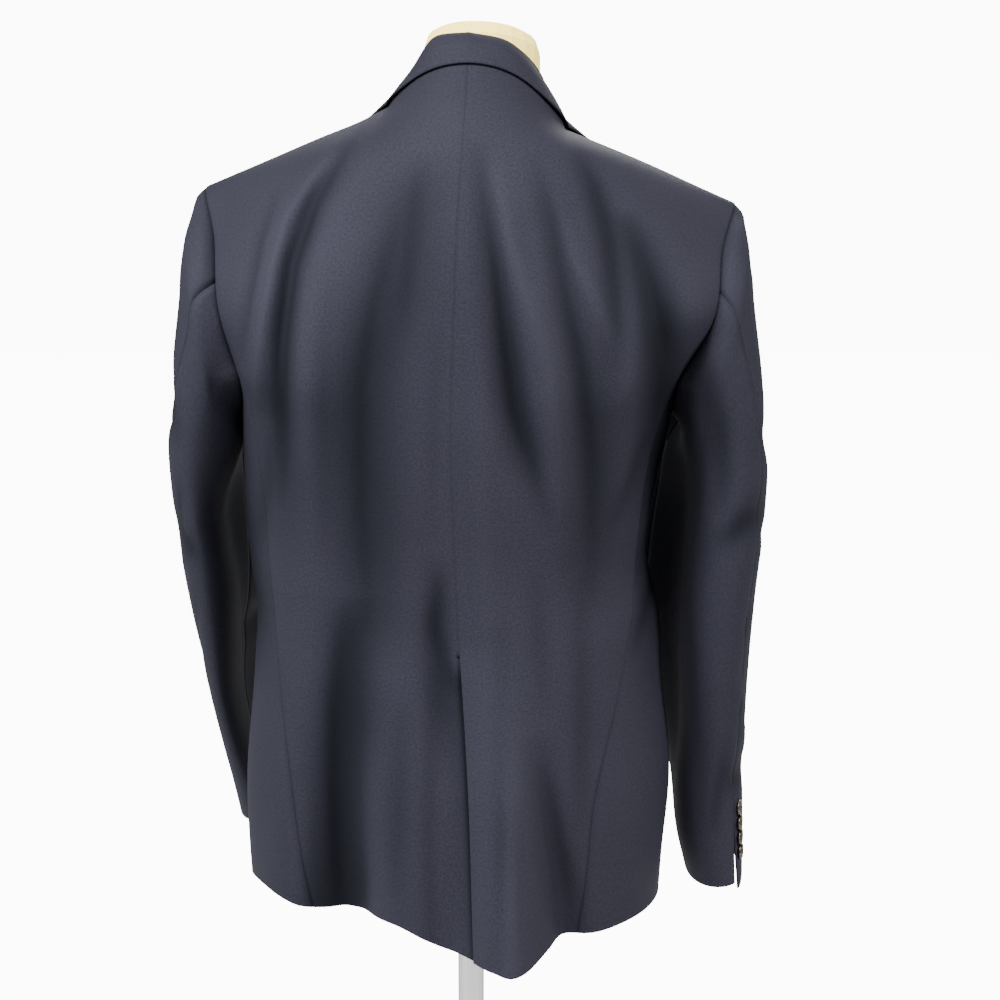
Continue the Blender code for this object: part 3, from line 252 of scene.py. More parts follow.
# Folds as stations along their length: z, x, depth (a ridge is negative), half width.
BACK_FOLDS = (
    ((1.407, -0.100, 0.000, 0.016), (1.350, -0.134, 0.005, 0.018), (1.268, -0.154, 0.007, 0.020),
     (1.205, -0.157, 0.007, 0.020), (1.120, -0.158, 0.004, 0.022), (1.020, -0.158, 0.000, 0.022)),
    ((1.407, -0.112, 0.000, 0.014), (1.350, -0.153, -0.004, 0.014), (1.309, -0.166, -0.005, 0.015),
     (1.247, -0.176, -0.004, 0.015), (1.200, -0.180, 0.000, 0.015)),
    ((1.400, -0.030, 0.000, 0.022), (1.360, -0.040, 0.004, 0.025), (1.285, -0.060, 0.006, 0.030),
     (1.205, -0.084, 0.008, 0.030), (1.098, -0.087, 0.007, 0.032), (1.002, -0.082, 0.004, 0.030),
     (0.950, -0.080, 0.000, 0.030)),
    ((1.020, -0.095, 0.000, 0.018), (0.984, -0.101, 0.006, 0.020), (0.922, -0.107, 0.013, 0.023),
     (0.854, -0.110, 0.020, 0.028), (0.785, -0.112, 0.029, 0.034), (0.715, -0.116, 0.036, 0.038)),
    ((0.980, 0.012, 0.000, 0.022), (0.922, 0.024, -0.006, 0.025), (0.854, 0.032, -0.014, 0.028),
     (0.785, 0.033, -0.024, 0.030), (0.700, 0.033, -0.036, 0.032)),
    ((1.060, -0.026, 0.000, 0.012), (1.033, -0.025, 0.003, 0.012), (0.997, -0.026, 0.006, 0.013),
     (0.953, -0.024, 0.006, 0.013), (0.895, -0.020, 0.003, 0.012), (0.850, -0.016, 0.000, 0.012)),
    ((1.410, 0.010, 0.000, 0.012), (1.342, 0.020, 0.004, 0.012), (1.285, 0.028, 0.006, 0.014),
     (1.226, 0.036, 0.008, 0.015), (1.184, 0.042, 0.009, 0.015), (1.150, 0.051, 0.007, 0.016),
     (1.115, 0.062, 0.003, 0.016), (1.070, 0.075, 0.000, 0.016)),
    ((1.390, 0.027, 0.000, 0.013), (1.318, 0.043, -0.004, 0.014), (1.268, 0.056, -0.005, 0.015),
     (1.218, 0.070, -0.005, 0.017), (1.120, 0.083, -0.003, 0.020), (1.050, 0.090, 0.000, 0.020)),
    ((1.400, 0.060, 0.000, 0.014), (1.338, 0.074, 0.004, 0.014), (1.285, 0.082, 0.005, 0.015),
     (1.218, 0.095, 0.006, 0.017), (1.141, 0.104, 0.006, 0.020), (1.060, 0.108, 0.004, 0.022),
     (0.980, 0.110, 0.000, 0.022)),
    ((1.400, 0.092, 0.000, 0.012), (1.375, 0.106, 0.004, 0.012), (1.330, 0.119, 0.006, 0.014),
     (1.285, 0.126, 0.006, 0.015), (1.240, 0.127, 0.004, 0.015), (1.190, 0.126, 0.000, 0.015)),
    ((1.350, 0.135, 0.000, 0.014), (1.334, 0.141, 0.004, 0.014), (1.301, 0.153, 0.008, 0.016),
     (1.260, 0.164, 0.011, 0.017), (1.209, 0.168, 0.010, 0.018), (1.141, 0.164, 0.006, 0.020),
     (1.070, 0.158, 0.000, 0.020)),
    ((0.900, 0.062, 0.000, 0.014), (0.858, 0.067, 0.006, 0.014), (0.800, 0.076, 0.010, 0.016),
     (0.757, 0.084, 0.012, 0.016), (0.700, 0.090, 0.013, 0.016)),
)
FRONT_FOLDS = (
    ((1.020, 0.108, 0.000, 0.022), (0.900, 0.114, 0.006, 0.025), (0.800, 0.119, 0.010, 0.028),
     (0.700, 0.122, 0.012, 0.030)),
    ((1.000, -0.122, 0.000, 0.022), (0.890, -0.128, 0.007, 0.025), (0.790, -0.134, 0.011, 0.028),
     (0.700, -0.138, 0.013, 0.030)),
    ((1.240, 0.150, 0.000, 0.018), (1.180, 0.130, 0.004, 0.020), (1.110, 0.100, 0.005, 0.022),
     (1.050, 0.070, 0.000, 0.022)),
    ((1.245, -0.160, 0.000, 0.018), (1.185, -0.138, 0.005, 0.020), (1.110, -0.104, 0.004, 0.022),
     (1.050, -0.072, 0.000, 0.022)),
)


def slopes(knots, stack):
    """Tangents of a smooth curve at its knots."""
    step = np.diff(knots)
    spread = (-1,) + (1,) * (stack.ndim - 1)
    slope = np.diff(stack, axis=0) / step.reshape(spread)
    tangent = np.empty_like(stack)
    tangent[0] = slope[0]
    tangent[-1] = slope[-1]
    share = (step[:-1] / (step[:-1] + step[1:])).reshape(spread)
    tangent[1:-1] = slope[:-1] * (1 - share) + slope[1:] * share
    return tangent


def blend(t, low, high, leave, arrive):
    """A cubic from low to high that leaves and arrives with the given slopes."""
    return (low * (2 * t**3 - 3 * t**2 + 1) + leave * (t**3 - 2 * t**2 + t)
            + high * (3 * t**2 - 2 * t**3) + arrive * (t**3 - t**2))


def through(knots, stack, wanted):
    """Smooth curve through the stacked values at the knots, read at the wanted places."""
    knots, stack, wanted = (np.asarray(given, float) for given in (knots, stack, wanted))
    tangent = slopes(knots, stack)
    place = np.clip(np.searchsorted(knots, wanted, side="right") - 1, 0, len(knots) - 2)
    width = np.diff(knots)[place]
    t = np.clip((wanted - knots[place]) / width, 0.0, 1.0)
    spread = wanted.shape + (1,) * (stack.ndim - 1)
    t, width = t.reshape(spread), width.reshape(spread)
    return blend(t, stack[place], stack[place + 1], tangent[place] * width,
                 tangent[place + 1] * width)


def through_each(knots, stack, wanted):
    """Like through, for a grid of curves that are each read at a place of their own."""
    knots = np.asarray(knots, float)
    tangent = slopes(knots, stack)
    place = np.clip(np.searchsorted(knots, wanted, side="right") - 1, 0, len(knots) - 2)
    width = np.diff(knots)[place]
    t = np.clip((wanted - knots[place]) / width, 0.0, 1.0)[..., None]
    index = np.broadcast_to(place[None, ..., None], (1,) + stack.shape[1:])
    low, high, leave, arrive = (np.take_along_axis(rows, index, 0)[0]
                                for rows in (stack, stack[1:], tangent, tangent[1:]))
    return blend(t, low, high, leave * width[..., None], arrive * width[..., None])


def ease(value, start, end):
    """0 before start, 1 past end, smooth between them."""
    t = np.clip((value - start) / (end - start), 0.0, 1.0)
    return t * t * (3 - 2 * t)


def bell(away, width):
    """1 in the middle, less and less away from it."""
    return np.exp(-(away / width) ** 2)


def table(rows, names):
    """Rows of numbers, each by its column's name."""
    return [dict(zip(names, row)) for row in rows]


def unit(vectors):
    """The same directions, each one long."""
    length = np.linalg.norm(vectors, axis=-1, keepdims=True)
    return vectors / np.maximum(length, 1e-9)


LEVEL_ROWS = table(LEVELS, LEVEL_COLUMNS)


def ring(level, angle):
    """Points of one closed ring at the given angles from the centre back."""
    s, c = np.sin(angle), np.cos(angle)
    reach = (np.abs(s)**level["square"] + np.abs(c)**level["square"]) ** (-1.0 / level["square"])
    half = np.where(s > 0, level["right"] - level["centre"], level["centre"] - level["left"])
    depth = np.where(c > 0, -level["back"], level["front"])
    hem = np.array(HEM_LINE)
    drop = through(hem[:, 0], hem[:, 1], np.degrees(np.arctan2(s, c))) - LEVEL_ROWS[0]["z"]
    share = 1.0 if level["up"] == 0 else 1.0 - ease(level["up"], HEM_FADE, LEVEL_ROWS[2]["up"])
    return np.stack([level["centre"] + half * s * reach, -depth * c * reach,
                     level["z"] + drop * share], -1)


def angle_at(level, x):
    """Angle on the back half of a ring where it reaches x."""
    angles = np.radians(np.linspace(-90, 90, 361))
    return np.interp(x, ring(level, angles)[:, 0], angles)


def swept(start, end, first, last, u):
    """A row from start to end that leaves and arrives at the given headings, in degrees."""
    start, end = np.array(start), np.array(end)
    reach = np.linalg.norm((end - start)[:2]) * ROW_BOW
    leave, arrive = (np.array([math.cos(turn), math.sin(turn), 0.0]) * reach
                     for turn in (math.radians(first), math.radians(last)))
    row = blend(u[..., None], start, end, leave, arrive)
    row[..., 2] = start[2] + (end[2] - start[2]) * u * (ROW_RISE + (1 - ROW_RISE) * u)
    return row


def shoulder(side, share):
    """Point on the shoulder line, from the neck point (0) to the tip (1)."""
    line = np.array(SHOULDERS[side])
    knots = (line[:, 0] - line[0, 0]) / (line[-1, 0] - line[0, 0])
    flat = through(knots, line, share)
    return np.stack([flat[..., 0], np.zeros_like(share), flat[..., 1]], -1)


def neckline(side, share):
    """Point on the back neckline, from the nape (0) to the neck point (1)."""
    turn = share * math.pi / 2
    tip = np.array([SHOULDERS[side][0][0], 0.0, SHOULDERS[side][0][1]])
    nape = np.array(NAPE)
    x = nape[0] + (tip[0] - nape[0]) * np.sin(turn)
    y = nape[1] * np.cos(turn)
    z = tip[2] + (nape[2] - tip[2]) * np.abs(np.cos(turn)) ** NAPE_CURVE
    return np.stack([x, y, z], -1)


def fold_depth(points, folds, facing):
    """How far the folds push the cloth in, at each point."""
    total = np.zeros(points.shape[:-1])
    for fold in folds:
        stations = np.array(sorted(fold))
        line = through(stations[:, 0], stations[:, 1:], points[..., 2])
        inside = (points[..., 2] >= stations[0, 0]) | (stations[0, 0] < OPEN_BELOW)
        inside &= points[..., 2] <= stations[-1, 0]
        across = bell(points[..., 0] - line[..., 0], line[..., 2])
        total += np.where(inside, line[..., 1] * across, 0.0)
    return total * ease(facing * points[..., 1], 0.0, FOLD_FADE)


def folded(points):
    """The body's points, moved in or out by its folds."""
    depth = fold_depth(points, BACK_FOLDS, -1) + fold_depth(points, FRONT_FOLDS, 1)
    outward = np.stack([(points[..., 0] - BODY_MIDDLE) / BODY_HALF[0]**2,
                        points[..., 1] / BODY_HALF[1]**2, np.zeros_like(depth)], -1)
    return points - unit(outward) * depth[..., None]


def sign(side):
    """The wearer's right is +x."""
    return 1.0 if side == "right" else -1.0


def back_surface(side, u, up):
    """Back panel: u runs from the centre back to the side seam or the armhole."""
    rows, knots = [], []
    for level in LEVEL_ROWS:
        end = angle_at(level, level[side + "_seam"])
        rows.append(ring(level, end * u))
        knots.append(level["up"])
    for row in BACK_ROWS:
        end = row[4:7] if side == "right" else row[7:10]
        headings = (0, row[10]) if side == "right" else (180, 180 - row[10])
        rows.append(swept(row[1:4], end, *headings, u))
        knots.append(row[0])
    on_neck = np.clip(u / NECK_SHARE, 0, 1)
    on_shoulder = np.clip((u - NECK_SHARE) / (1 - NECK_SHARE), 0, 1)
    top = np.where((u < NECK_SHARE)[..., None], neckline(side, on_neck),
                   shoulder(side, on_shoulder))
    turn = (on_neck * math.pi / 2)[..., None]
    rows += [top, top + (np.cos(turn) * PAST_NAPE + np.sin(turn) * PAST_SHOULDER) * GUIDE]
    knots += [TOP_UP, BEYOND_TOP]
    return folded(through_each(knots, np.stack(rows), up))


def side_surface(side, u, up):
    """Side panel: u runs from the back seam to the front seam; up is 0 to 1 here."""
    junction = LEVEL_ROWS[-1]
    rows, knots = [], []
    for level in LEVEL_ROWS:
        start = angle_at(level, level[side + "_seam"])
        end = math.radians(FRONT_SEAM_ANGLE) * sign(side)
        rows.append(ring(level, start + (end - start) * u))
        knots.append(level["up"])
    back, front = BACK_ROWS[0], FRONT_ROWS[0]
    ends = (back[4:7], front[1:4]) if side == "right" else (back[7:10], front[4:7])
    headings = (back[10], front[10]) if side == "right" else (180 - back[10], 180 - front[10])
    rows.append(swept(*ends, *headings, u))
    knots.append(back[0])
    dip = np.sin(np.pi * u) ** SIDE_DIP_CURVE * SIDE_DIP
    height = up * (junction["up"] - dip)
    return folded(through_each(knots, np.stack(rows), height))


def front_surface(side, u, up):
    """Front panel: u runs from the side seam or the armhole to the front edge or crease."""
    rows, knots = [], []
    for level in LEVEL_ROWS:
        start = math.radians(FRONT_SEAM_ANGLE)
        half = abs(level[side] - level["centre"])
        offset = (level["edge"] - sign(side) * level["centre"]) / half
        end = math.pi - math.asin(offset)
        rows.append(ring(level, (start + (end - start) * u) * sign(side)))
        knots.append(level["up"])
    for row in FRONT_ROWS:
        start = row[1:4] if side == "right" else row[4:7]
        crease = (sign(side) * row[7], row[8], row[9])
        headings = (row[10], 180) if side == "right" else (180 - row[10], 0)
        rows.append(swept(start, crease, *headings, u))
        knots.append(row[0])
    top = shoulder(side, 1 - u)
    rows += [top, top + PAST_FRONT]
    knots += [TOP_UP, BEYOND_TOP]
    points = folded(through_each(knots, np.stack(rows), up))
    if side == "right":
        beside, below = (ease(-points[..., axis], -start, -full)
                         for axis, (start, full) in ((0, LAP_X), (2, LAP_Z)))
        points[..., 1] -= beside * below * UNDER_PUSH
    return points


def normals_of(surface, side, u, up):
    """Outward normals of a surface, by small steps along both of its directions."""
    step = 1e-4
    u_low, u_high = np.clip(u - step, 0, 1), np.clip(u + step, 0, 1)
    top = 1.0 if surface is side_surface else TOP_UP
    up_low, up_high = np.clip(up - step, 0, top), np.clip(up + step, 0, top)
    along = surface(side, u_high, up) - surface(side, u_low, up)
    rise = surface(side, u, up_high) - surface(side, u, up_low)
    return unit(np.cross(along, rise)) * sign(side)


def ridge_normals(side, share):
    """Normals along the shoulder seam, the same for the back and the front."""
    step = 0.01
    run = shoulder(side, np.clip(share + step, 0, 1)) - shoulder(side, np.clip(share - step, 0, 1))
    return unit(np.stack([-run[..., 2] * sign(side), np.zeros_like(share),
                          np.abs(run[..., 0])], -1))


# Finer folds of the back than its solid has: depth (a ridge is negative), half width, and the
# places x, z that each runs through.
BACK_CREASES = (
    # the left drag from the collar's end, with the sharp ridge beside it
    (-0.0034, 0.0046, (-0.100, 1.420), (-0.124, 1.388), (-0.152, 1.342), (-0.162, 1.303),
     (-0.172, 1.247), (-0.182, 1.180)),
    (0.0042, 0.0056, (-0.084, 1.425), (-0.103, 1.400), (-0.129, 1.359), (-0.147, 1.308),
     (-0.156, 1.240), (-0.161, 1.090)),
    (-0.0022, 0.0100, (-0.079, 1.400), (-0.112, 1.346), (-0.129, 1.295), (-0.137, 1.230),
     (-0.139, 1.120)),
    (0.0034, 0.0062, (-0.160, 1.370), (-0.176, 1.326), (-0.185, 1.277), (-0.194, 1.215)),
    (0.0012, 0.0080, (-0.114, 1.290), (-0.120, 1.180), (-0.123, 1.040)),
    (0.0018, 0.0080, (-0.168, 1.160), (-0.186, 1.050)),
    # either side of the centre back
    (0.0014, 0.0060, (-0.035, 1.400), (-0.047, 1.285), (-0.051, 1.240)),
    (0.0018, 0.0068, (-0.052, 1.350), (-0.076, 1.268), (-0.086, 1.204), (-0.089, 1.094),
     (-0.084, 0.980)),
    (0.0008, 0.0070, (-0.022, 1.270), (-0.030, 1.060)),
    (0.0022, 0.0060, (0.012, 1.405), (0.020, 1.342), (0.028, 1.285), (0.042, 1.182),
     (0.063, 1.111), (0.078, 1.060)),
    (-0.0017, 0.0058, (0.024, 1.400), (0.036, 1.318), (0.053, 1.268), (0.070, 1.217),
     (0.084, 1.116)),
    (-0.0012, 0.0085, (0.010, 1.260), (0.013, 1.138), (0.021, 0.982), (0.037, 0.830)),
    # the right drags, fanned out from the collar's end
    (0.0020, 0.0062, (0.058, 1.405), (0.074, 1.338), (0.082, 1.285), (0.096, 1.217),
     (0.105, 1.138), (0.111, 1.000)),
    (0.0014, 0.0055, (0.042, 1.350), (0.060, 1.280)),
    (-0.0017, 0.0056, (0.064, 1.395), (0.091, 1.309), (0.111, 1.268), (0.128, 1.225)),
    (0.0021, 0.0058, (0.088, 1.412), (0.108, 1.375), (0.120, 1.330), (0.125, 1.285),
     (0.127, 1.230)),
    (-0.0013, 0.0070, (0.134, 1.330), (0.136, 1.240), (0.135, 1.100)),
    (0.0024, 0.0065, (0.134, 1.350), (0.153, 1.301), (0.163, 1.260), (0.169, 1.208),
     (0.164, 1.110)),
    (0.0016, 0.0070, (0.156, 1.165), (0.126, 1.065)),
    (0.0013, 0.0090, (0.058, 1.050), (0.068, 0.910)),
    # the skirt
    (0.0020, 0.0062, (-0.023, 1.045), (-0.027, 0.991), (-0.012, 0.930)),
    (0.0026, 0.0085, (-0.106, 1.020), (-0.116, 0.916), (-0.117, 0.849), (-0.114, 0.740),
     (-0.113, 0.600)),
    (-0.0034, 0.0130, (-0.086, 0.900), (-0.084, 0.790), (-0.078, 0.700), (-0.074, 0.600)),
    (-0.0016, 0.0100, (-0.147, 0.850), (-0.153, 0.763), (-0.156, 0.600)),
    (0.0034, 0.0095, (0.028, 1.000), (0.030, 0.871), (0.028, 0.790), (0.024, 0.689),
     (0.022, 0.580)),
    (0.0016, 0.0080, (-0.030, 0.960), (-0.034, 0.800), (-0.030, 0.620)),
    (0.0018, 0.0100, (0.100, 1.040), (0.102, 0.900), (0.100, 0.780)),
    (0.0016, 0.0090, (-0.056, 0.930), (-0.064, 0.745)),
    (0.0016, 0.0070, (0.064, 0.875), (0.088, 0.735)),
    (0.0014, 0.0080, (0.044, 0.850), (0.053, 0.705)),
    (0.0018, 0.0080, (0.172, 1.030), (0.146, 0.950)),
)
FRONT_CREASES = (
    (0.0020, 0.012, (0.096, 1.330), (0.078, 1.250), (0.056, 1.180)),
    (0.0020, 0.012, (-0.096, 1.330), (-0.074, 1.245), (-0.050, 1.170)),
    (0.0018, 0.010, (0.160, 1.175), (0.110, 1.110), (0.050, 1.072)),
    (0.0020, 0.010, (-0.160, 1.180), (-0.110, 1.105), (-0.050, 1.066)),
    (0.0022, 0.014, (0.066, 1.000), (0.084, 0.870), (0.098, 0.730)),
    (0.0022, 0.014, (-0.070, 1.000), (-0.092, 0.860), (-0.108, 0.725)),
    (0.0020, 0.012, (0.138, 1.040), (0.152, 0.770)),
    (0.0020, 0.012, (-0.148, 1.030), (-0.166, 0.760)),
)


CREASE_FADE, CREASE_ENDS = 0.03, 0.8     # the same for fine folds, and how bluntly they end


def creased(across, height, creases):
    """How far fine folds push the cloth in, at places given across and in height. Each fades
    towards its ends."""
    total = np.zeros(np.broadcast(across, height).shape)
    for depth, width, *places in creases:
        places = np.array(places)
        runs = np.diff(places, axis=0)
        sizes = np.linalg.norm(runs, axis=1)
        before = np.concatenate([[0.0], np.cumsum(sizes)]) / sizes.sum()
        nearest, share = np.full(total.shape, 9.0), np.zeros(total.shape)
        for (x, z), run, size, done in zip(places, runs, sizes, before):
            along = np.clip(((across - x) * run[0] + (height - z) * run[1]) / size**2, 0.0, 1.0)
            far = (across - x - run[0] * along) ** 2 + (height - z - run[1] * along) ** 2
            share = np.where(far < nearest, done + along * size / sizes.sum(), share)
            nearest = np.minimum(far, nearest)
        total += depth * np.sin(np.pi * share) ** CREASE_ENDS * np.exp(-nearest / width**2)
    return total


def lengths(points, axis):
    """Distance along each row or column of a grid, from its start."""
    step = np.linalg.norm(np.diff(points, axis=axis), axis=-1)
    start = np.zeros_like(np.take(step, [0], axis))
    return np.concatenate([start, np.cumsum(step, axis)], axis)


SEAM_DIP, SEAM_WIDTH = 0.00028, 0.0013           # depth and half width of a sewn seam's groove


def seam_dips(points, sides, depth=SEAM_DIP, width=SEAM_WIDTH):
    """How far the cloth is drawn in at its borders. sides says how much each is, in the order low
    and high row, first and last column."""
    across, along = lengths(points, 1), lengths(points, 0)
    away = (along, along[-1:] - along, across, across[:, -1:] - across)
    return sum(depth * bell(far, width) * sewn for far, sewn in zip(away, sides))


ROUNDED, SEWN = 0.38, 0.03       # how far a wall's edge bulges, in walls: a turned edge, a seam


def shell(name, outer, normals, wall, wool_inside=False, free=(1, 1, 1, 1), hollow=0.0):
    """A closed thin wall with a UV map in metres. wool_inside says where the inner face is wool
    too, free which borders are rounded, in the order low and high row, first and last column, and
    hollow the shade painted into its colour for folds, seams and nooks, and painted light where
    below 0."""
    rows, columns = outer.shape[:2]
    inner = outer - normals * wall
    across, along = lengths(outer, 1), lengths(outer, 0)
    along = np.broadcast_to(along[:, columns // 2, None], across.shape)
    bulge = [wall * (ROUNDED if border else SEWN) for border in free]
    middle = (outer + inner) / 2
    low = middle[0] - unit(outer[1] - outer[0]) * bulge[0]
    high = middle[-1] + unit(outer[-1] - outer[-2]) * bulge[1]
    first = middle[:, 0] - unit(outer[:, 1] - outer[:, 0]) * bulge[2]
    last = middle[:, -1] + unit(outer[:, -1] - outer[:, -2]) * bulge[3]
    points = np.concatenate([outer.reshape(-1, 3), inner.reshape(-1, 3), first, last, low, high])

    def on_points(values):
        """A grid of values, laid out as the points are."""
        flat = values.reshape(rows * columns, -1)
        return np.concatenate([flat, flat, *(edge.reshape(-1, flat.shape[1]) for edge in
                                             (values[:, 0], values[:, -1], values[0], values[-1]))])

    grid = np.arange(rows * columns).reshape(rows, columns)
    under = grid + rows * columns
    at_first = np.arange(rows) + 2 * rows * columns
    at_last = at_first + rows
    at_low = np.arange(columns) + at_last[-1] + 1
    at_high = at_low + columns

    def strip(a, b):
        return np.stack([a[:-1], a[1:], b[1:], b[:-1]], -1)

    outside = np.stack([grid[:-1, :-1], grid[:-1, 1:], grid[1:, 1:], grid[1:, :-1]], -1)
    inside = np.stack([under[:-1, :-1], under[1:, :-1], under[1:, 1:], under[:-1, 1:]], -1)
    rims = [strip(grid[:, 0], at_first), strip(at_first, under[:, 0]), strip(at_last, grid[:, -1]),
            strip(under[:, -1], at_last), strip(at_low, grid[0]), strip(under[0], at_low),
            strip(grid[-1], at_high), strip(at_high, under[-1])]
    corners = []
    for i, j, side, end in ((0, 0, at_first, at_low), (0, -1, at_last, at_low),
                            (-1, 0, at_first, at_high), (-1, -1, at_last, at_high)):
        corners += [(grid[i, j], side[i], end[j]), (under[i, j], end[j], side[i])]
    quads = np.concatenate([outside.reshape(-1, 4), inside.reshape(-1, 4), *rims])
    mesh = bpy.data.meshes.new(name)
    mesh.from_pydata(points.tolist(), [], quads.tolist() + np.array(corners).tolist())
    slots = np.zeros(len(mesh.polygons), dtype=np.int32)
    faces = (rows - 1) * (columns - 1)
    slots[faces:2 * faces] = ~np.broadcast_to(wool_inside, (rows - 1, columns - 1)).reshape(-1)
    mesh.polygons.foreach_set("material_index", slots)
    layer = mesh.uv_layers.new(name="cloth")
    at_corners = np.empty(len(mesh.loops), dtype=np.int32)
    mesh.loops.foreach_get("vertex_index", at_corners)
    layer.data.foreach_set("uv", on_points(np.stack([across, along], -1))[at_corners].reshape(-1))
    # The shade painted into the wool's colour at each point, from folds, seams and nooks, with
    # painted light where it is below 0
    amount = on_points(np.broadcast_to(hollow, (rows, columns))).astype(np.float32)
    mesh.attributes.new("hollow", "FLOAT", "POINT").data.foreach_set("value", amount.reshape(-1))
    turned = bmesh.new()
    turned.from_mesh(mesh)
    bmesh.ops.recalc_face_normals(turned, faces=turned.faces)
    turned.to_mesh(mesh)
    turned.free()
    mesh.shade_smooth()
    return mesh


def show(name, mesh, *materials):
    """A mesh as a piece, with its materials."""
    for material in materials:
        mesh.materials.append(material)
    return in_scene(name, mesh)


def put_on(piece, node):
    """Rides a piece on the body, in the place of its solid."""
    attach(piece, "root")
    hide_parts(node)


def feed(start, **wires):
    """Joins wires to the sockets of the shader that start leaves."""
    for label, wire in wires.items():
        start.tree.links.new(wire.socket, start.socket.node.inputs[label.replace("_", " ")])


def cloth_places(start):
    """Places on the cloth's own UV map, in millimetres: across, along and both."""
    uv = start.node("ShaderNodeUVMap", {"uv_map": "cloth"})
    flat = uv.node("ShaderNodeVectorMath", {"operation": "SCALE"}, {0: uv, "Scale": 1000.0})
    across, along, _ = flat.parts()
    return across, along, flat


def object_places(start):
    """Places in the object's own frame, in metres."""
    return start.node("ShaderNodeTexCoord", output=3)


def noise(places, scale, detail, **more):
    """Cloudy values from 0 to 1."""
    return places.node("ShaderNodeTexNoise", {},
                       {"Vector": places, "Scale": scale, "Detail": detail, **more})


def ribbed(value, pitch):
    """Ribs a pitch apart, from 0 to 1."""
    return (value * (2 * math.pi / pitch)).maths("SINE") * 0.5 + 0.5


def relief(height, strength, distance):
    """The normal of a surface with this height on it."""
    return height.node("ShaderNodeBump", {},
                       {"Strength": strength, "Distance": distance, "Height": height})


TWILL_PITCH, YARN_PITCH, SATIN_PITCH = 0.62, 0.41, 0.30       # in millimetres
WOOL_DARK, WOOL_LIGHT = (0.0058, 0.0058, 0.0090, 1), (0.0206, 0.0201, 0.0286, 1)
# The wool's colour where shade is painted in folds and seams, and where light is painted on ridges
WOOL_PAINTED_SHADE, WOOL_PAINTED_LIGHT = (0.0010, 0.0011, 0.0019, 1), (0.0290, 0.0288, 0.0395, 1)
SATIN_DARK, SATIN_LIGHT = (0.008, 0.010, 0.020, 1), (0.020, 0.024, 0.045, 1)

wool, start = new_material("worsted_wool", 0.72, Specular_IOR_Level=0.12,
                           Specular_Tint=(0.70, 0.78, 1.0, 1))
across, along, flat = cloth_places(start)
weave = ribbed(across + along, TWILL_PITCH) * 0.7 + ribbed(across - along * 1.02, YARN_PITCH) * 0.3
fleck = noise(flat, 0.95, 3.0, Roughness=0.6)
cloud = noise(object_places(start), 9.0, 3.0)
grain = noise(flat, 0.42, 2.0, Roughness=0.7)
tone = (fleck.spread(0.32, 0.68) * 0.35 + grain.spread(0.34, 0.66) * 0.35
        + cloud.spread(0.35, 0.65) * 0.12 + weave * 0.18)
# Painted shading: the wool's colour is painted darker in folds, seams and nooks, and lighter on
# ridges
hollow = start.node("ShaderNodeAttribute", {"attribute_name": "hollow"}, output=2)
colour = hollow.spread(0.0, 1.0).mixed(tone.mixed(WOOL_DARK, WOOL_LIGHT), WOOL_PAINTED_SHADE)
colour = hollow.spread(-1.0, 0.0, 0.35, 0.0).mixed(colour, WOOL_PAINTED_LIGHT)
feed(start, Base_Color=colour, Normal=relief(weave * 0.5 + fleck * 0.5, 0.22, 0.00025))

lining, start = new_material("satin_lining", 0.34, Sheen_Weight=0.1)
across, along, flat = cloth_places(start)
thread, ripple = ribbed(along, SATIN_PITCH), noise(flat, 0.045, 2.0)
colour = (ripple.spread(0.3, 0.7) * 0.7 + thread * 0.3).mixed(SATIN_DARK, SATIN_LIGHT)
feed(start, Base_Color=colour, Normal=relief(thread * 0.15 + ripple * 0.85, 0.25, 0.0004))


def steps(length, pitch):
    """Places from 0 to length, about a pitch apart, closer at both ends."""
    even = np.linspace(0.0, length, int(length / pitch) + 1)
    close = np.array([0.0015, 0.0035, 0.006])
    return np.unique(np.concatenate([even, close, length - close]).round(6))


ROW_PITCH, COLUMN_PITCH = 0.0045, 0.0030
BACK_WIDTH, SIDE_WIDTH, FRONT_WIDTH = 0.21, 0.13, 0.20        # about, for the number of columns
VENT_STEP = 0.004            # the row above the vent's end is this near
BODY_UPS = np.concatenate([steps(TOP_UP, ROW_PITCH), [VENT_ROW - VENT_STEP, VENT_ROW]])
BODY_UPS = np.unique(BODY_UPS.round(6))
LOWER_TOP = LEVEL_ROWS[-1]["up"]
FOLD_SHADE = 0.009           # a fold this deep looks three quarters as dark as it can
FINE_SHADE = 1.5             # how much more a fine fold counts
OPEN_FROM, OPEN_FADE = 1.0, 0.2          # the skirt's folds stand wide open from this height down
OPEN_TROUGH, OPEN_RIDGE = 0.65, 0.85     # what those folds lose of their shade
SIDE_SEAM, CENTRE_SEAM, SEAM_SHADE_WIDTH = 0.38, 0.50, 0.0016     # how much shade is painted at a seam
SEAM_FROM, SEAM_FADE, SEAM_LEAST = 0.98, 0.14, 0.25      # most below this height, some above it
SHARED_NORMALS = (0.5, 0.38, 0.25, 0.12)         # at a sewn border, and at the next three rows


def folds_at(points, creases, facing):
    """Depth of the fine folds, and the painted shade of all folds: painted light on a ridge."""
    fine = (creased(points[..., 0], points[..., 2], creases)
            * ease(facing * points[..., 1], 0.0, CREASE_FADE))
    coarse = fold_depth(points, BACK_FOLDS, -1) + fold_depth(points, FRONT_FOLDS, 1)
    low = ease(OPEN_FROM - points[..., 2], 0.0, OPEN_FADE)
    coarse *= 1 - low * np.where(coarse > 0, OPEN_TROUGH, OPEN_RIDGE)
    return fine, np.tanh((coarse + FINE_SHADE * fine) / FOLD_SHADE)


def seam_shade(points, first, last):
    """The shade painted along the seams of the first and last column, most on the skirt."""
    shares = ease(SEAM_FROM - points[..., 2], 0.0, SEAM_FADE) * (1 - SEAM_LEAST) + SEAM_LEAST
    return seam_dips(points, (0, 0, first, last), 1.0, SEAM_SHADE_WIDTH) * shares


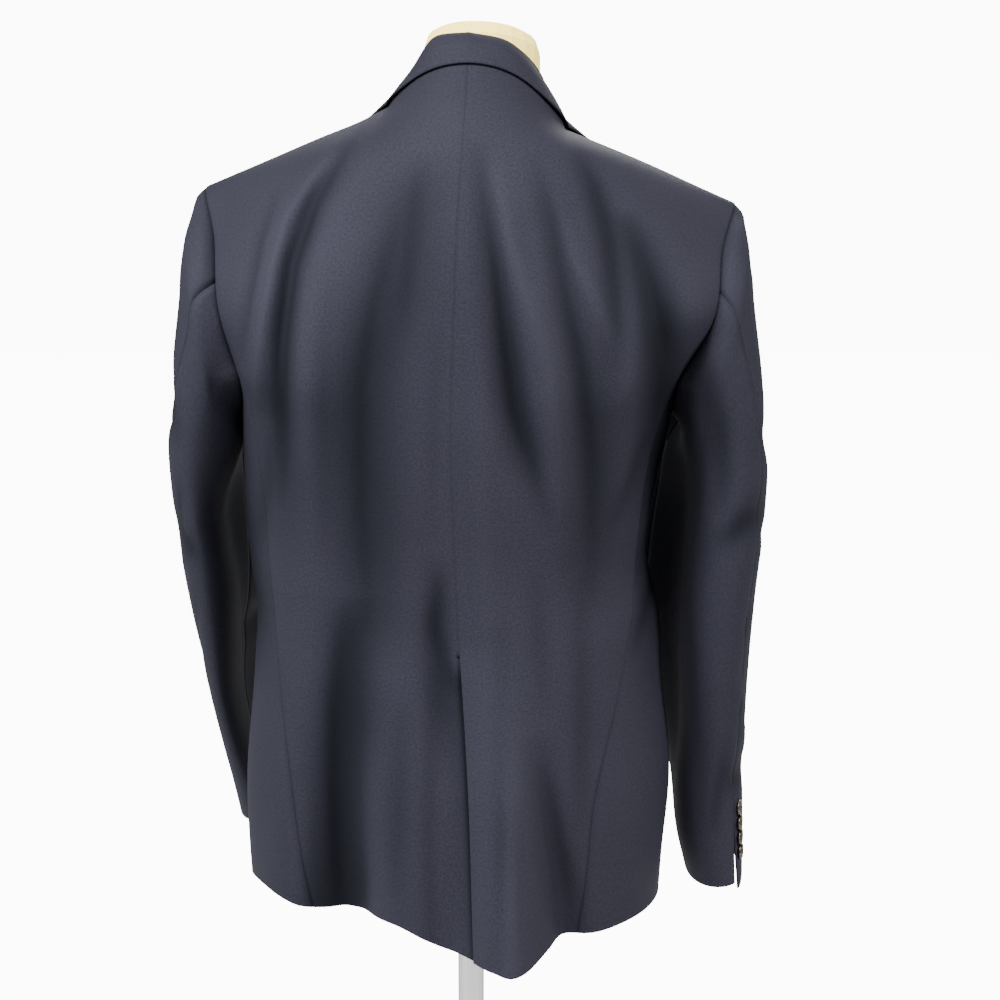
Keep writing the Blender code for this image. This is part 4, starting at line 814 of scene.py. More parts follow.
def meet(normals, column, others, rows=slice(None)):
    """Turns the normals near a sewn border so that both panels agree there."""
    step = 1 if column == 0 else -1
    for away, share in enumerate(SHARED_NORMALS):
        at = column + step * away
        normals[rows, at] = unit(normals[rows, at] * (1 - share) + others * share)


def panel(surface, side, columns, ups, creases, facing, sewn, neighbours):
    """A side or a front: its creased points, their normals, and its folds' and seams' painted
    shade.
    """
    u, up = np.meshgrid(columns, ups)
    outer = surface(side, u, up)
    normals = normals_of(surface, side, u, up)
    for column, other, at, rise, rows in neighbours:
        run = ups[rows] * rise
        meet(normals, column, normals_of(other, side, np.full_like(run, at), run), rows)
    fine, hollow = folds_at(outer, creases, facing)
    outer = outer - normals * (fine + seam_dips(outer, sewn))[..., None]
    return outer, normals, hollow + seam_shade(outer, sewn[2] * SIDE_SEAM, sewn[3] * SIDE_SEAM)


def drawn_in(points, gaps):
    """Moves the border rows and columns in: gaps for low, high row and first, last column."""
    moved = points.copy()
    moved[0] += unit(points[1] - points[0]) * gaps[0]
    moved[-1] += unit(points[-2] - points[-1]) * gaps[1]
    moved[:, 0] += unit(points[:, 1] - points[:, 0]) * gaps[2]
    moved[:, -1] += unit(points[:, -2] - points[:, -1]) * gaps[3]
    return moved


def cloth(node, outer, normals, wool_inside=False, free=(1, 1, 1, 1), hollow=0.0, wall=CLOTH):
    """A piece of wool with its lining, in the place of its solid."""
    name = "cloth_" + node
    piece = show(name, shell(name, outer, normals, wall, wool_inside, free, hollow), wool, lining)
    put_on(piece, node)
    return piece


SEAM_ROOM = CLOTH * 0.02     # a sewn edge is rounded by a little more, so that the seam closes
CENTRE_DIP = 0.6             # the centre seam is pressed flatter than the others
HEM_TURNED, SIDE_HEM_ROWS = 0.038, 9     # depth of the wool turned up inside, rows of it at a side
FACING_FROM = 0.62           # the fronts are faced with wool from here to their edge
LAP_COLUMNS = 8              # columns of the left back that lie under the right one at the vent
# Shares of the left back's width: where those columns end above the vent, and the next ones.
LAP_ENDS, NEAR_LAP = 0.012, (0.016, 0.022, 0.030, 0.040, 0.050)
UNDER_STARTS, UNDER_FULL = 0.040, 0.012  # how far left of the vent the left back starts to go under
VENT_SHADES = ((1.0, 0.0042), (0.40, 0.014))     # painted shadow beside the right back's edge: how dark, and half width
PUSH_FADE, SHADE_FADE = 0.060, 0.025     # both grow over this length, down from the vent's end
# Painted shade between sleeve and side: how dark, and where that starts and is full, in z and y.
UNDERARM_SHADE, UNDERARM_Z, UNDERARM_Y = 0.75, (0.90, 1.02), (-0.10, -0.04)

for side in ("left", "right"):
    columns = steps(1.0, COLUMN_PITCH / BACK_WIDTH)
    if side == "left":
        columns = np.concatenate([np.linspace(0, LAP_ENDS, LAP_COLUMNS), NEAR_LAP,
                                  columns[columns > 0.055]])
    u, up = np.meshgrid(columns, BODY_UPS)
    outer = back_surface(side, u, up)
    normals = normals_of(back_surface, side, u, up)
    lower = BODY_UPS <= LOWER_TOP
    beside = BODY_UPS[lower] / LOWER_TOP
    meet(normals, -1, normals_of(side_surface, side, np.zeros_like(beside), beside), lower)
    other = "left" if side == "right" else "right"
    meet(normals, 0, normals_of(back_surface, other, np.zeros_like(BODY_UPS), BODY_UPS))
    # Painted shade for the back's folds and seams, and painted light on its ridges
    fine, hollow = folds_at(outer, BACK_CREASES, -1)
    above_vent = (BODY_UPS >= VENT_ROW)[:, None]
    dips = seam_dips(outer, (0, 1, 0, 1)) + seam_dips(outer, (0, 0, CENTRE_DIP, 0)) * above_vent
    outer = outer - normals * (fine + dips)[..., None]
    hollow += np.where(above_vent, seam_shade(outer, CENTRE_SEAM, SIDE_SEAM),
                       seam_shade(outer, 0, SIDE_SEAM))
    if side == "left":
        below = BODY_UPS < VENT_ROW
        lap = np.linspace(1, 0, LAP_COLUMNS) * VENT_LAP / LEVEL_ROWS[1]["right_seam"]
        lap_u, lap_up = np.meshgrid(lap, BODY_UPS[below])
        outer[below, :LAP_COLUMNS] = back_surface("right", lap_u, lap_up)
        normals[below, :LAP_COLUMNS] = normals_of(back_surface, "right", lap_u, lap_up)
        below = BODY_UPS <= VENT_ROW
        from_vent = (VENT_ROW - BODY_UPS[below])[:, None]
        under = ease(outer[below][..., 0], NAPE[0] - UNDER_STARTS, NAPE[0] - UNDER_FULL)
        fade = ease(from_vent, 0.0, PUSH_FADE) * np.ones(len(columns))
        fade[:, :LAP_COLUMNS] = 1.0
        outer[below] -= normals[below] * (under * fade * UNDER_PUSH)[..., None]
        # A shadow is painted on the left back beside the right back's edge
        edge = outer[below, LAP_COLUMNS - 1:LAP_COLUMNS, 0]
        beyond = np.clip(edge - outer[below][..., 0], 0, 1)
        shade = sum(dark * bell(beyond, wide) for dark, wide in VENT_SHADES)
        hollow[below] += shade * ease(from_vent, 0.0, SHADE_FADE)
    shoulder_share = (u[-1] - NECK_SHARE) / (1 - NECK_SHARE)
    on_shoulder = u[-1] >= NECK_SHARE
    normals[-1][on_shoulder] = ridge_normals(side, shoulder_share[on_shoulder])
    piece = cloth("back_" + side, drawn_in(outer, (0, SEAM_ROOM, SEAM_ROOM, SEAM_ROOM)), normals,
                  (BODY_UPS[:-1] < HEM_TURNED)[:, None], (1, 0, side == "left", 0), hollow)

stitch_lines = {}
for side in ("left", "right"):
    columns = steps(1.0, COLUMN_PITCH / SIDE_WIDTH)
    ups = steps(LOWER_TOP, ROW_PITCH) / LOWER_TOP
    outer, normals, hollow = panel(side_surface, side, columns, ups, BACK_CREASES, -1, (0, 1, 1, 1),
                                   ((0, back_surface, 1.0, LOWER_TOP, slice(None)),
                                    (-1, front_surface, 0.0, LOWER_TOP, slice(None))))
    # Painted shade where the sleeve hangs close to the side
    hollow += UNDERARM_SHADE * ease(outer[..., 2], *UNDERARM_Z) * ease(outer[..., 1], *UNDERARM_Y)
    piece = cloth("side_" + side, drawn_in(outer, (0, SEAM_ROOM, SEAM_ROOM, SEAM_ROOM)), normals,
                  (np.arange(len(ups) - 1) < SIDE_HEM_ROWS)[:, None], (1, 0, 0, 0), hollow)

    columns = steps(1.0, COLUMN_PITCH / FRONT_WIDTH)
    outer, normals, hollow = panel(front_surface, side, columns, BODY_UPS, FRONT_CREASES, 1,
                                   (0, 1, 1, 0),
                                   ((0, side_surface, 1.0, 1 / LOWER_TOP, BODY_UPS <= LOWER_TOP),))
    normals[-1] = ridge_normals(side, 1 - columns)
    outer = drawn_in(outer, (0, SEAM_ROOM, SEAM_ROOM, 0))
    faced = (columns[:-1] > FACING_FROM)[None] | (BODY_UPS[:-1] < HEM_TURNED)[:, None]
    piece = cloth("front_" + side, outer, normals, faced, (1, 0, 0, 1), hollow)
    stitch_lines["front_" + side] = (outer[:, -5], normals[:, -5])

# ================================================================ sleeves
# Two-piece sleeves of the same wool, set in over a little wadding at the head. Each has a top
# and an under piece, a lined hollow, and a vent at the back of the cuff.
SLEEVE_SEAM_ANGLES = (78.0, 248.0)      # back and front seam, in degrees from the top down the back
CUFF_OPENING = 0.0022                   # how far each side of the cuff's vent stands open
SLEEVE_SQUARE = 2.2                     # a section is a little squarer than an ellipse
SWING_CURVE = 1.5                       # how soon the front edge's swing starts, round a section
ARMHOLE_POINTS, UNDERARM_POINTS = 34, 20     # on the back and on the front, and on the side

# Sleeve sections below the armhole: outermost and innermost points, middle and half depth
# front to back, how far its front edge swings in towards the body, and how far the seams have
# turned outwards.
SLEEVE_SECTIONS = {
    "right": (
        # outer x, z,    inner x, z,    middle y, half depth, swing, turn
        (0.2490, 1.3260, 0.1935, 1.1540, -0.006, 0.0930, 0.000, 4),
        (0.2560, 1.2720, 0.1970, 1.1360, -0.004, 0.0920, 0.004, 12),
        (0.2655, 1.2110, 0.2000, 1.1140, -0.001, 0.0880, 0.035, 20),
        (0.2725, 1.1450, 0.2010, 1.0800, 0.002, 0.0840, 0.053, 26),
        (0.2725, 1.0800, 0.1990, 1.0400, 0.005, 0.0800, 0.063, 28),
        (0.2665, 1.0100, 0.1975, 0.9900, 0.010, 0.0765, 0.066, 28),
        (0.2625, 0.9400, 0.1978, 0.9330, 0.017, 0.0725, 0.056, 26),
        (0.2612, 0.8700, 0.2000, 0.8680, 0.026, 0.0680, 0.044, 24),
        (0.2622, 0.8000, 0.1975, 0.8000, 0.035, 0.0640, 0.012, 24),
        (0.2638, 0.7550, 0.2005, 0.7530, 0.040, 0.0620, 0.002, 24),
        (0.2648, 0.7150, 0.2100, 0.7120, 0.044, 0.0600, 0.000, 24),
    ),
    "left": (
        (-0.2510, 1.3370, -0.2065, 1.1620, -0.004, 0.0900, 0.000, 4),
        (-0.2580, 1.2820, -0.2120, 1.1440, 0.000, 0.0890, 0.003, 10),
        (-0.2675, 1.2250, -0.2190, 1.1210, 0.006, 0.0860, 0.010, 20),
        (-0.2745, 1.1600, -0.2270, 1.0870, 0.012, 0.0820, 0.027, 28),
        (-0.2745, 1.0950, -0.2250, 1.0470, 0.022, 0.0780, 0.034, 36),
        (-0.2700, 1.0250, -0.2208, 1.0000, 0.038, 0.0740, 0.032, 46),
        (-0.2630, 0.9600, -0.2222, 0.9450, 0.058, 0.0700, 0.030, 58),
        (-0.2562, 0.8950, -0.2240, 0.8870, 0.083, 0.0660, 0.028, 70),
        (-0.2500, 0.8350, -0.2170, 0.8300, 0.110, 0.0630, 0.022, 80),
        (-0.2440, 0.7850, -0.2070, 0.7830, 0.132, 0.0610, 0.014, 88),
        (-0.2390, 0.7440, -0.2010, 0.7420, 0.148, 0.0600, 0.010, 92),
    ),
}
# The sleeve's folds: ring share down the sleeve, angle round it, depth, half widths of both.
SLEEVE_FOLDS = {
    "right": ((0.26, 30.0, 0.006, 0.030, 30.0), (0.36, 100.0, 0.005, 0.030, 34.0),
              (0.55, -60.0, 0.006, 0.030, 40.0), (0.80, 70.0, 0.004, 0.030, 30.0)),
    "left": ((0.24, 60.0, 0.005, 0.030, 34.0), (0.42, 110.0, 0.005, 0.030, 36.0),
             (0.58, -70.0, 0.006, 0.030, 40.0)),
}


# Finer folds of the sleeves: depth, half width, and places as angle round the sleeve in degrees
# and height.
SLEEVE_CREASES = {
    "right": (
        (0.0034, 0.010, (64, 1.162), (40, 1.130), (14, 1.100)),
        (0.0024, 0.009, (76, 1.090), (54, 1.062), (34, 1.048)),
        (-0.0030, 0.0065, (92, 0.945), (78, 0.900), (50, 0.840)),
        (0.0024, 0.005, (88, 0.915), (78, 0.895), (66, 0.872)),
        (0.0018, 0.012, (36, 1.290), (46, 1.150)),
        (0.0030, 0.012, (116, 1.230), (130, 1.150), (142, 1.080)),
        (0.0022, 0.014, (-20, 1.270), (-30, 1.100)), (0.0020, 0.010, (98, 0.870), (122, 0.760)),
        (0.0018, 0.009, (60, 1.010), (84, 0.960)), (0.0016, 0.010, (20, 0.960), (30, 0.800)),
    ),
    "left": (
        (0.0028, 0.010, (64, 1.180), (44, 1.145), (24, 1.112)),
        (0.0026, 0.010, (112, 1.115), (100, 1.080), (86, 1.055)),
        (0.0018, 0.012, (48, 1.280), (60, 1.160)), (0.0022, 0.010, (124, 1.010), (96, 0.910)),
        (0.0022, 0.014, (-20, 1.250), (-30, 1.100)), (0.0020, 0.010, (86, 0.915), (112, 0.820)),
        (0.0018, 0.009, (52, 1.060), (72, 1.000)), (0.0016, 0.010, (30, 0.970), (44, 0.830)),
        (-0.0055, 0.024, (172, 1.230), (168, 1.150), (165, 1.070)),
        (-0.0055, 0.024, (-172, 1.230), (-168, 1.150), (-165, 1.070)),
    ),
}


def armhole_loop(side):
    """The armhole from the shoulder tip down the back, under the arm and up the front."""
    ups = np.linspace(LOWER_TOP, TOP_UP, ARMHOLE_POINTS)
    back = back_surface(side, np.ones_like(ups), ups)[::-1]
    columns = np.linspace(0, 1, UNDERARM_POINTS)
    under = side_surface(side, columns, np.ones_like(columns))
    front = front_surface(side, np.zeros_like(ups), ups)
    return np.concatenate([back, under[1:-1], front[:-1]])


def sleeve_grid(side, rows):
    """Points down the whole sleeve, one column for each point of the armhole."""
    loop = armhole_loop(side)
    middle = (loop.max(0) + loop.min(0)) / 2
    half = (loop.max(0) - loop.min(0)) / 2
    around = np.arctan2(-(loop[:, 1] - middle[1]) / half[1], (loop[:, 2] - middle[2]) / half[2])
    around = np.where(around < -1e-6, around + 2 * math.pi, around)
    around[0] = 0.0
    start = loop.copy()
    start[:, 0] -= sign(side) * ARMHOLE_LAP
    stack, knots, last = [start], [0.0], middle
    for out_x, out_z, in_x, in_z, mid_y, depth, swing, turn in SLEEVE_SECTIONS[side]:
        outer, inner = np.array([out_x, mid_y, out_z]), np.array([in_x, mid_y, in_z])
        centre, reach = (outer + inner) / 2, (outer - inner) / 2
        angle = around - math.radians(turn)
        s, c = np.sin(angle), np.cos(angle)
        k = (np.abs(s)**SLEEVE_SQUARE + np.abs(c)**SLEEVE_SQUARE) ** (-1.0 / SLEEVE_SQUARE)
        k = k[:, None]
        section = centre + reach * c[:, None] * k - np.array([0, depth, 0]) * s[:, None] * k
        section[:, 0] -= sign(side) * swing * np.clip(-s, 0, 1) ** SWING_CURVE
        stack.append(section)
        knots.append(knots[-1] + np.linalg.norm(centre - last))
        last = centre
    knots = np.array(knots) / knots[-1]
    return through(knots, np.stack(stack), np.asarray(rows)), np.degrees(around)


def tube_normals(points):
    """Outward normals of a tube: rows are rings, and the last column meets the first."""
    around = np.roll(points, -1, 1) - np.roll(points, 1, 1)
    down = np.gradient(points, axis=0, edge_order=2)
    normals = unit(np.cross(around, down))
    radial = points - points.mean(1, keepdims=True)
    return normals * np.sign((normals * radial).sum(-1).mean())


SLEEVE_ROW = 0.0075                     # share of the sleeve's length between two rows
SLEEVE_RADIUS = 0.055                   # turns angles round the sleeve into metres
INNER_SIDE, INNER_WIDTH = 182.0, 32.0   # degrees round the sleeve of the side next to the body
# Painted shade on the sleeve's side next to the body; below 0 that side is painted lighter
INNER_SHADE = {"left": -0.10, "right": 0.36}
SLEEVE_FOLD_SHADE = 0.006               # a fold this deep looks three quarters as dark as it can
# Under the arm the cloth folds over: its angle and half width round the sleeve, and how near it
# the inner face is wool.
UNDERARM, UNDERARM_WIDTH, FOLDED_OVER = 258.0, 32.0, 0.25
FOLDED_FROM, FOLDED_TO = (0.004, 0.03), (0.14, 0.20)     # its start and end down the sleeve
# Painted shade along the sleeve's head seam: how dark, and its half width down the sleeve
HEAD_SEAM_SHADE, HEAD_SEAM_WIDTH = 0.9, 0.0026
HEAD_SEAM_DIP, HEAD_DIP_WIDTH = 0.0010, 0.003
# The wadded roll at the head and the hollow under it: depth, distance down the sleeve, half width.
HEAD_ROLL, HEAD_HOLLOW = (0.0038, 0.012, 0.009), (0.0024, 0.042, 0.018)
WADDED = (-0.1, 0.7)                    # cosine round the sleeve where they start and are full
CUFF_HEM = 0.035                        # wool turned in at the cuff
CUFF_OPENS = 0.86                       # share of the sleeve's length where the vent starts to open
CUFF_TIP = np.array([0, 0, -0.0065])    # the vent's upper corner hangs lower than the rest
TIP_FROM, TIP_WIDTH, TIP_PROUD = 0.90, 0.014, 0.0015     # its start, half width and lift


def turned_from(around, angle):
    """Degrees round the sleeve from an angle, the short way."""
    return (around[None] - angle + 180) % 360 - 180


cuff_seams = {}
for side in ("left", "right"):
    rows = steps(1.0, SLEEVE_ROW)
    points, around = sleeve_grid(side, rows)
    down = lengths(points, 0)
    normals = tube_normals(points)
    depth = np.zeros(points.shape[:2])
    for share, angle, amount, half_share, half_angle in SLEEVE_FOLDS[side]:
        turn = turned_from(around, angle)
        depth += amount * np.exp(-((rows[:, None] - share) / half_share)**2 - (turn / half_angle)**2)
    signed = np.where(around > 180, around - 360, around)
    fine = [(amount, wide, *((math.radians(angle) * SLEEVE_RADIUS, z) for angle, z in places))
            for amount, wide, *places in SLEEVE_CREASES[side]]
    depth += (creased(np.radians(signed)[None] * SLEEVE_RADIUS, points[..., 2], fine)
              * ease(down, 0.0, 0.030))
    # Painted shade from the sleeve's folds, on its side next to the body and along its head seam
    inward = bell(turned_from(around, INNER_SIDE), INNER_WIDTH)
    hollow = np.tanh(depth / SLEEVE_FOLD_SHADE) + INNER_SHADE[side] * inward
    hollow += HEAD_SEAM_SHADE * bell(down, HEAD_SEAM_WIDTH)
    high_side = ease(np.cos(np.radians(around)), *WADDED)[None]
    roll, sunk = (amount * bell(down - place, wide) * high_side
                  for amount, place, wide in (HEAD_ROLL, HEAD_HOLLOW))
    depth -= roll
    depth += HEAD_SEAM_DIP * bell(down, HEAD_DIP_WIDTH) + sunk
    points = points - normals * depth[..., None]

    # Where the cloth folds over, its wall lies along the way out from the sleeve's middle.
    normals = tube_normals(points)
    radial = unit(points - points.mean(1, keepdims=True))
    facing = ease((normals * radial).sum(-1), 0.0, 0.4)[..., None]
    normals = unit(normals * facing + radial * (1 - facing))
    first = normals[0].copy()
    first[:, 0] = np.minimum(first[:, 0] * sign(side), 0) * sign(side)
    normals[0] = unit(first)

    back, front = (int(np.argmin(np.abs(around - angle))) for angle in SLEEVE_SEAM_ANGLES)
    count = len(around)
    spans = {"top": [i % count for i in range(front, back + count + 1)],
             "under": list(range(back, front + 1))}
    open_cuff = SEAM_ROOM + (ease(rows, CUFF_OPENS, 1.0) * CUFF_OPENING)[:, None]
    underarm = (bell(around - UNDERARM, UNDERARM_WIDTH) * ease(down, *FOLDED_FROM)
                * (1 - ease(down, *FOLDED_TO)))
    far_down = down.mean(1)
    for half, span in spans.items():
        grid, outward = points[:, span].copy(), normals[:, span]
        grid = grid - outward * seam_dips(grid, (0, 0, 1, 1))[..., None]
        rooms = (SEAM_ROOM, open_cuff) if half == "top" else (open_cuff, SEAM_ROOM)
        grid = drawn_in(grid, (0, 0, *rooms))
        if half == "top":
            from_edge = lengths(grid[:, ::-1], 1)[:, ::-1]
            tip = ease(rows, TIP_FROM, 1.0)[:, None] ** 2 * bell(from_edge, TIP_WIDTH)
            grid = grid + (CUFF_TIP + outward * TIP_PROUD) * tip[..., None]
            cuff_seams[side] = (grid, outward)
        hem_inside = (far_down[:-1] > far_down[-1] - CUFF_HEM)[:, None]
        wool_inside = hem_inside | (underarm[:-1, span[:-1]] > FOLDED_OVER)
        piece = cloth("%s_sleeve_%s" % (half, side), grid, outward, wool_inside, (0, 1, 0, 0),
                      hollow[:, span])
        "cloth_back_" + side

# ================================================================ collar, lapels and flaps
# The collar is one springy fold of wool over undercollar felt, steamed round the neck. The
# lapels are the fronts' own upper edges turned back over a pad-stitched canvas, and the flaps
# are wool lined with satin, sewn in over the hip pockets.
TURNED_CLOTH = 0.0018        # thickness of the wool of collar, lapels and flaps
WALL, SEAM_GAP = 0.002, 0.0003           # thickness of the solids, and the gap between two of them
ON_PANEL, COLLAR_LIFT = 0.0008, 0.0002   # how far pieces lie off the panels under them

# The collar round the neck. "along" is 0 at the centre back, 1 at the neck point and 2 at the
# gorge, down the crease. The fall edge lies on the panels, "drop" below the neckline behind and
# "spread" away from the crease in front.
COLLAR_BACK = {
    "right": (
        # along, roll x, y, z,          drop
        (0.00, 0.001, -0.0575, 1.4995, 0.007),
        (0.33, 0.036, -0.0520, 1.4920, 0.008),
        (0.66, 0.0610, -0.0275, 1.4695, 0.012),
        (1.00, 0.0720, 0.0060, 1.4405, 0.007),
    ),
    "left": (
        (0.00, 0.001, -0.0575, 1.4995, 0.007),
        (0.33, -0.028, -0.0510, 1.4960, 0.008),
        (0.66, -0.043, -0.0260, 1.4765, 0.012),
        (1.00, -0.0540, 0.0060, 1.4585, 0.012),
    ),
}
COLLAR_FRONT = (
    # along, up the front, spread
    (1.30, 0.755, 0.028), (1.70, 0.726, 0.040), (2.00, 0.705, 0.042),
)

LAPEL_WIDTHS = (
    # up the front, width
    (0.365, 0.003), (0.400, 0.022), (0.480, 0.052), (0.560, 0.074), (0.640, 0.088), (0.700, 0.090),
)
LAPEL_FOOT, LAPEL_TOP = {"left": 0.372, "right": 0.440}, 0.7025
LAPEL_ROLL, LAPEL_LIFT = 0.0015, 0.0010          # how far it bows out at its crease and its edge
FLAP_ACROSS, FLAP_UP = (0.04, 0.64), (0.172, 0.227)      # shares of the front, up the cloth
FLAP_COLUMNS, FLAP_ROWS = 40, 20


def on_panel(surface, side, u, up, lift):
    """Points a set distance outside a panel."""
    return surface(side, u, up) + normals_of(surface, side, u, up) * np.reshape(lift, (-1, 1))


def collar_side(side, along):
    """Points across the collar at places from the centre back (0) to the gorge (2)."""
    behind = table(COLLAR_BACK[side], ("along", "x", "y", "z", "drop"))
    before = table(COLLAR_FRONT, ("along", "up", "spread"))
    places = [row["along"] for row in behind + before]
    reach = [row["drop"] for row in behind] + [row["spread"] for row in before]
    ups = [TOP_UP] * len(behind) + [row["up"] for row in before]
    reach, ups = through(places, reach, along), through(places, ups, along)
    lift = ON_PANEL + WALL + COLLAR_LIFT * (1 + 5 * ease(along, 0.3, 0.8))

    share = np.clip(along, 0, 1)
    outward = normals_of(back_surface, side, share * NECK_SHARE, np.full_like(share, TOP_UP))
    seam = neckline(side, share) - outward * WALL + np.array([0, 0, SEAM_GAP + 0.0008])
    seam[:, 2] += 0.0012 * ease(along, 0.5, 1.0)
    edge = on_panel(back_surface, side, share * NECK_SHARE,
                    TOP_UP - np.where(along > 1, 0.01, reach), lift)
    roll = through([row["along"] for row in behind],
                   [[row["x"], row["y"], row["z"]] for row in behind], share)
    rise = unit(roll - (seam + edge) / 2)
    out = edge - seam
    out = unit(out - rise * (out * rise).sum(-1, keepdims=True))
    stand_top = roll - rise * 0.0036 - out * 0.0022
    fall_top = roll - rise * 0.0030 + out * 0.0032
    crown = 0.0050 + 0.0008 * ease(share, 0.4, 1.0)
    belly = (roll + edge) / 2 + rise * 0.0010 + out * crown[:, None]
    back = [seam, (seam + stand_top) / 2, stand_top, roll, fall_top, belly, edge]

    one = np.ones_like(ups)
    crease = front_surface(side, one, ups)
    inner = front_surface(side, 0.9 * one, ups)
    width = np.linalg.norm(crease - inner, axis=-1) / 0.1
    off, up = unit(crease - inner), normals_of(front_surface, side, one, ups)
    edge = on_panel(front_surface, side, 1 - np.where(along > 1, reach, 0.03) / width, ups, lift)
    fall_top = crease - off * 0.0010 + up * 0.0056
    front = [crease + off * 0.0034 - up * 0.0050, crease + off * 0.0040 - up * 0.0020,
             crease + off * 0.0042 + up * 0.0010, crease + off * 0.0026 + up * 0.0046,
             fall_top, (fall_top + edge) / 2 + up * 0.0015, edge]
    share = ease(along, 1.0, 1.3)[:, None]
    return np.stack([b * (1 - share) + f * share for b, f in zip(back, front)])


def along_line(line, *grids):
    """The given places of each grid, one after another."""
    return tuple(np.array([grid[at] for at in line]) for grid in grids)


places = np.concatenate([np.linspace(0, 1, 34), np.linspace(1, 2, 40)[1:]])
left, right = collar_side("left", places), collar_side("right", places)
stack = np.concatenate([left[:, ::-1], right[:, 1:]], 1)
shares = np.concatenate([np.linspace(0, 0.38, 8), np.linspace(0.40, 0.60, 17),
                         np.linspace(0.63, 1.0, 14)])
outer = through([0.0, 0.22, 0.42, 0.50, 0.60, 0.80, 1.0], stack, shares)
normals = unit(np.cross(*(np.gradient(outer, axis=axis, edge_order=2) for axis in (0, 1))))
if normals[-1, outer.shape[1] // 2, 1] > 0:
    normals = -normals
piece = cloth("collar", outer, normals, wool_inside=True, wall=TURNED_CLOTH)
stitch_lines["collar"] = (outer[-2, 3:-3], normals[-2, 3:-3])

for side in ("left", "right"):
    widths = np.array(LAPEL_WIDTHS)
    ups = np.linspace(LAPEL_FOOT[side], LAPEL_TOP, 70)
    wide = through(widths[:, 0], widths[:, 1], ups)
    if side == "right":
        wide = wide * ease(ups, LAPEL_FOOT["right"] - 0.010, LAPEL_FOOT["right"] + 0.060)
    columns = np.concatenate([[0.0, 0.015, 0.03], np.linspace(0.06, 0.97, 26), [0.985, 1.0]])
    share, up = np.meshgrid(columns, ups)
    crease = front_surface(side, np.ones_like(ups), ups)
    inner = front_surface(side, np.full_like(ups, 0.8), ups)
    reach = np.linalg.norm(crease - inner, axis=-1) / 0.2
    u = 1 - share * (np.maximum(wide, 0.002) / reach)[:, None]
    roll = np.sin(np.pi * np.clip(share / 0.5, 0, 1)) * LAPEL_ROLL + share * LAPEL_LIFT
    outward = normals_of(front_surface, side, u, up)
    outer = front_surface(side, u, up) + outward * (ON_PANEL + roll + TURNED_CLOTH)[..., None]
    piece = cloth("lapel_" + side, outer, outward, wool_inside=True, wall=TURNED_CLOTH)
    below = (BODY_UPS > 0.010) & (BODY_UPS < LAPEL_FOOT[side] - 0.004)
    stitch_lines["front_" + side] = tuple(line[below] for line in stitch_lines["front_" + side])
    line = [(row, -3) for row in range(5, len(ups) - 2)]
    line += [(-3, column) for column in range(len(columns) - 3, 12, -1)]
    stitch_lines["lapel_" + side] = along_line(line, outer, outward)
    if side == "left":
        lapel_hole = (outer[-14, 18:24], outward[-14, 18:24])
    "cloth_front_" + side

    u, up = np.meshgrid(np.linspace(*FLAP_ACROSS, FLAP_COLUMNS), np.linspace(*FLAP_UP, FLAP_ROWS))
    outward = normals_of(front_surface, side, u, up)
    outer = front_surface(side, u, up) + outward * (ON_PANEL + TURNED_CLOTH)
    piece = cloth("pocket_flap_" + side, outer, outward, wall=TURNED_CLOTH)
    line = [(row, 1) for row in range(FLAP_ROWS - 2, 1, -1)]
    line += [(1, column) for column in range(1, FLAP_COLUMNS - 1)]
    line += [(row, -2) for row in range(2, FLAP_ROWS - 1)]
    stitch_lines["pocket_flap_" + side] = along_line(line, outer, outward)
    "cloth_front_" + side

# ================================================================ buttons
# Turned horn-look buttons, 20 mm on the front and 15 mm on the cuffs, with a raised rim, a
# dished face and four holes, sewn on with navy thread.
FRONT_BUTTON, CUFF_BUTTON = 0.010, 0.0075        # radii
BUTTON_THICKNESS, BUTTON_TURNS = 0.003, 40
FRONT_BUTTON_UPS = (0.352, 0.242)                # up the cloth from the hem
HORN_STOPS = ((0.30, (0.004, 0.0022, 0.0015)), (0.50, (0.018, 0.010, 0.006)),
              (0.62, (0.060, 0.036, 0.021)), (0.75, (0.240, 0.180, 0.130)))
# The turned profile, from the middle of the face round the rim to the back: radius and height,
# as shares of the button's own.
BUTTON_PROFILE = ((0.45, 0.55), (0.62, 0.62), (0.74, 0.92), (0.86, 1.00), (0.95, 0.90),
                  (1.00, 0.60), (1.00, 0.30), (0.92, 0.06), (0.70, 0.00))
HOLE_PLACE, HOLE_RADIUS = 0.24, 0.11             # shares of the radius
STRAND, SHANK = 0.00022, 0.00042                 # radii of a strand over the face and of a shank
STRAND_PITCH = 0.00032                           # from one strand of a bar to the next
SHANK_PLACE, STRAND_LENGTH = 0.17, 0.52          # shares of the radius
STRAND_LIFT, SHANK_LIFT, SHANK_LENGTH = 0.60, 0.30, 0.62         # shares of the thickness
CUFF_SPIN, FRONT_SPIN = 0.4, 0.5                 # how far each cuff button turns on, and a front's

horn, start = new_material("horn", 0.28, Coat_Weight=0.3, Coat_Roughness=0.15)
streak = noise(object_places(start), 240.0, 4.0, Distortion=1.6)
colour = streak.node("ShaderNodeValToRGB", {"stops": HORN_STOPS}, {"Fac": streak})
feed(start, Base_Color=colour, Normal=relief(streak, 0.15, 0.0002))

thread_navy, start = new_material("sewing_thread", 0.7)
ply = noise(object_places(start), 2600.0, 1.0)
feed(start, Base_Color=ply.mixed((0.0045, 0.0050, 0.0085, 1), (0.0130, 0.0140, 0.0220, 1)))


def add_rod(mesh, place, radius, length, segments):
    """A short round rod along its own z, at a place."""
    bmesh.ops.create_cone(mesh, cap_ends=True, segments=segments, radius1=radius, radius2=radius,
                          depth=length, matrix=place)


def as_mesh(name, drawn):
    mesh = bpy.data.meshes.new(name)
    drawn.to_mesh(mesh)
    drawn.free()
    return mesh


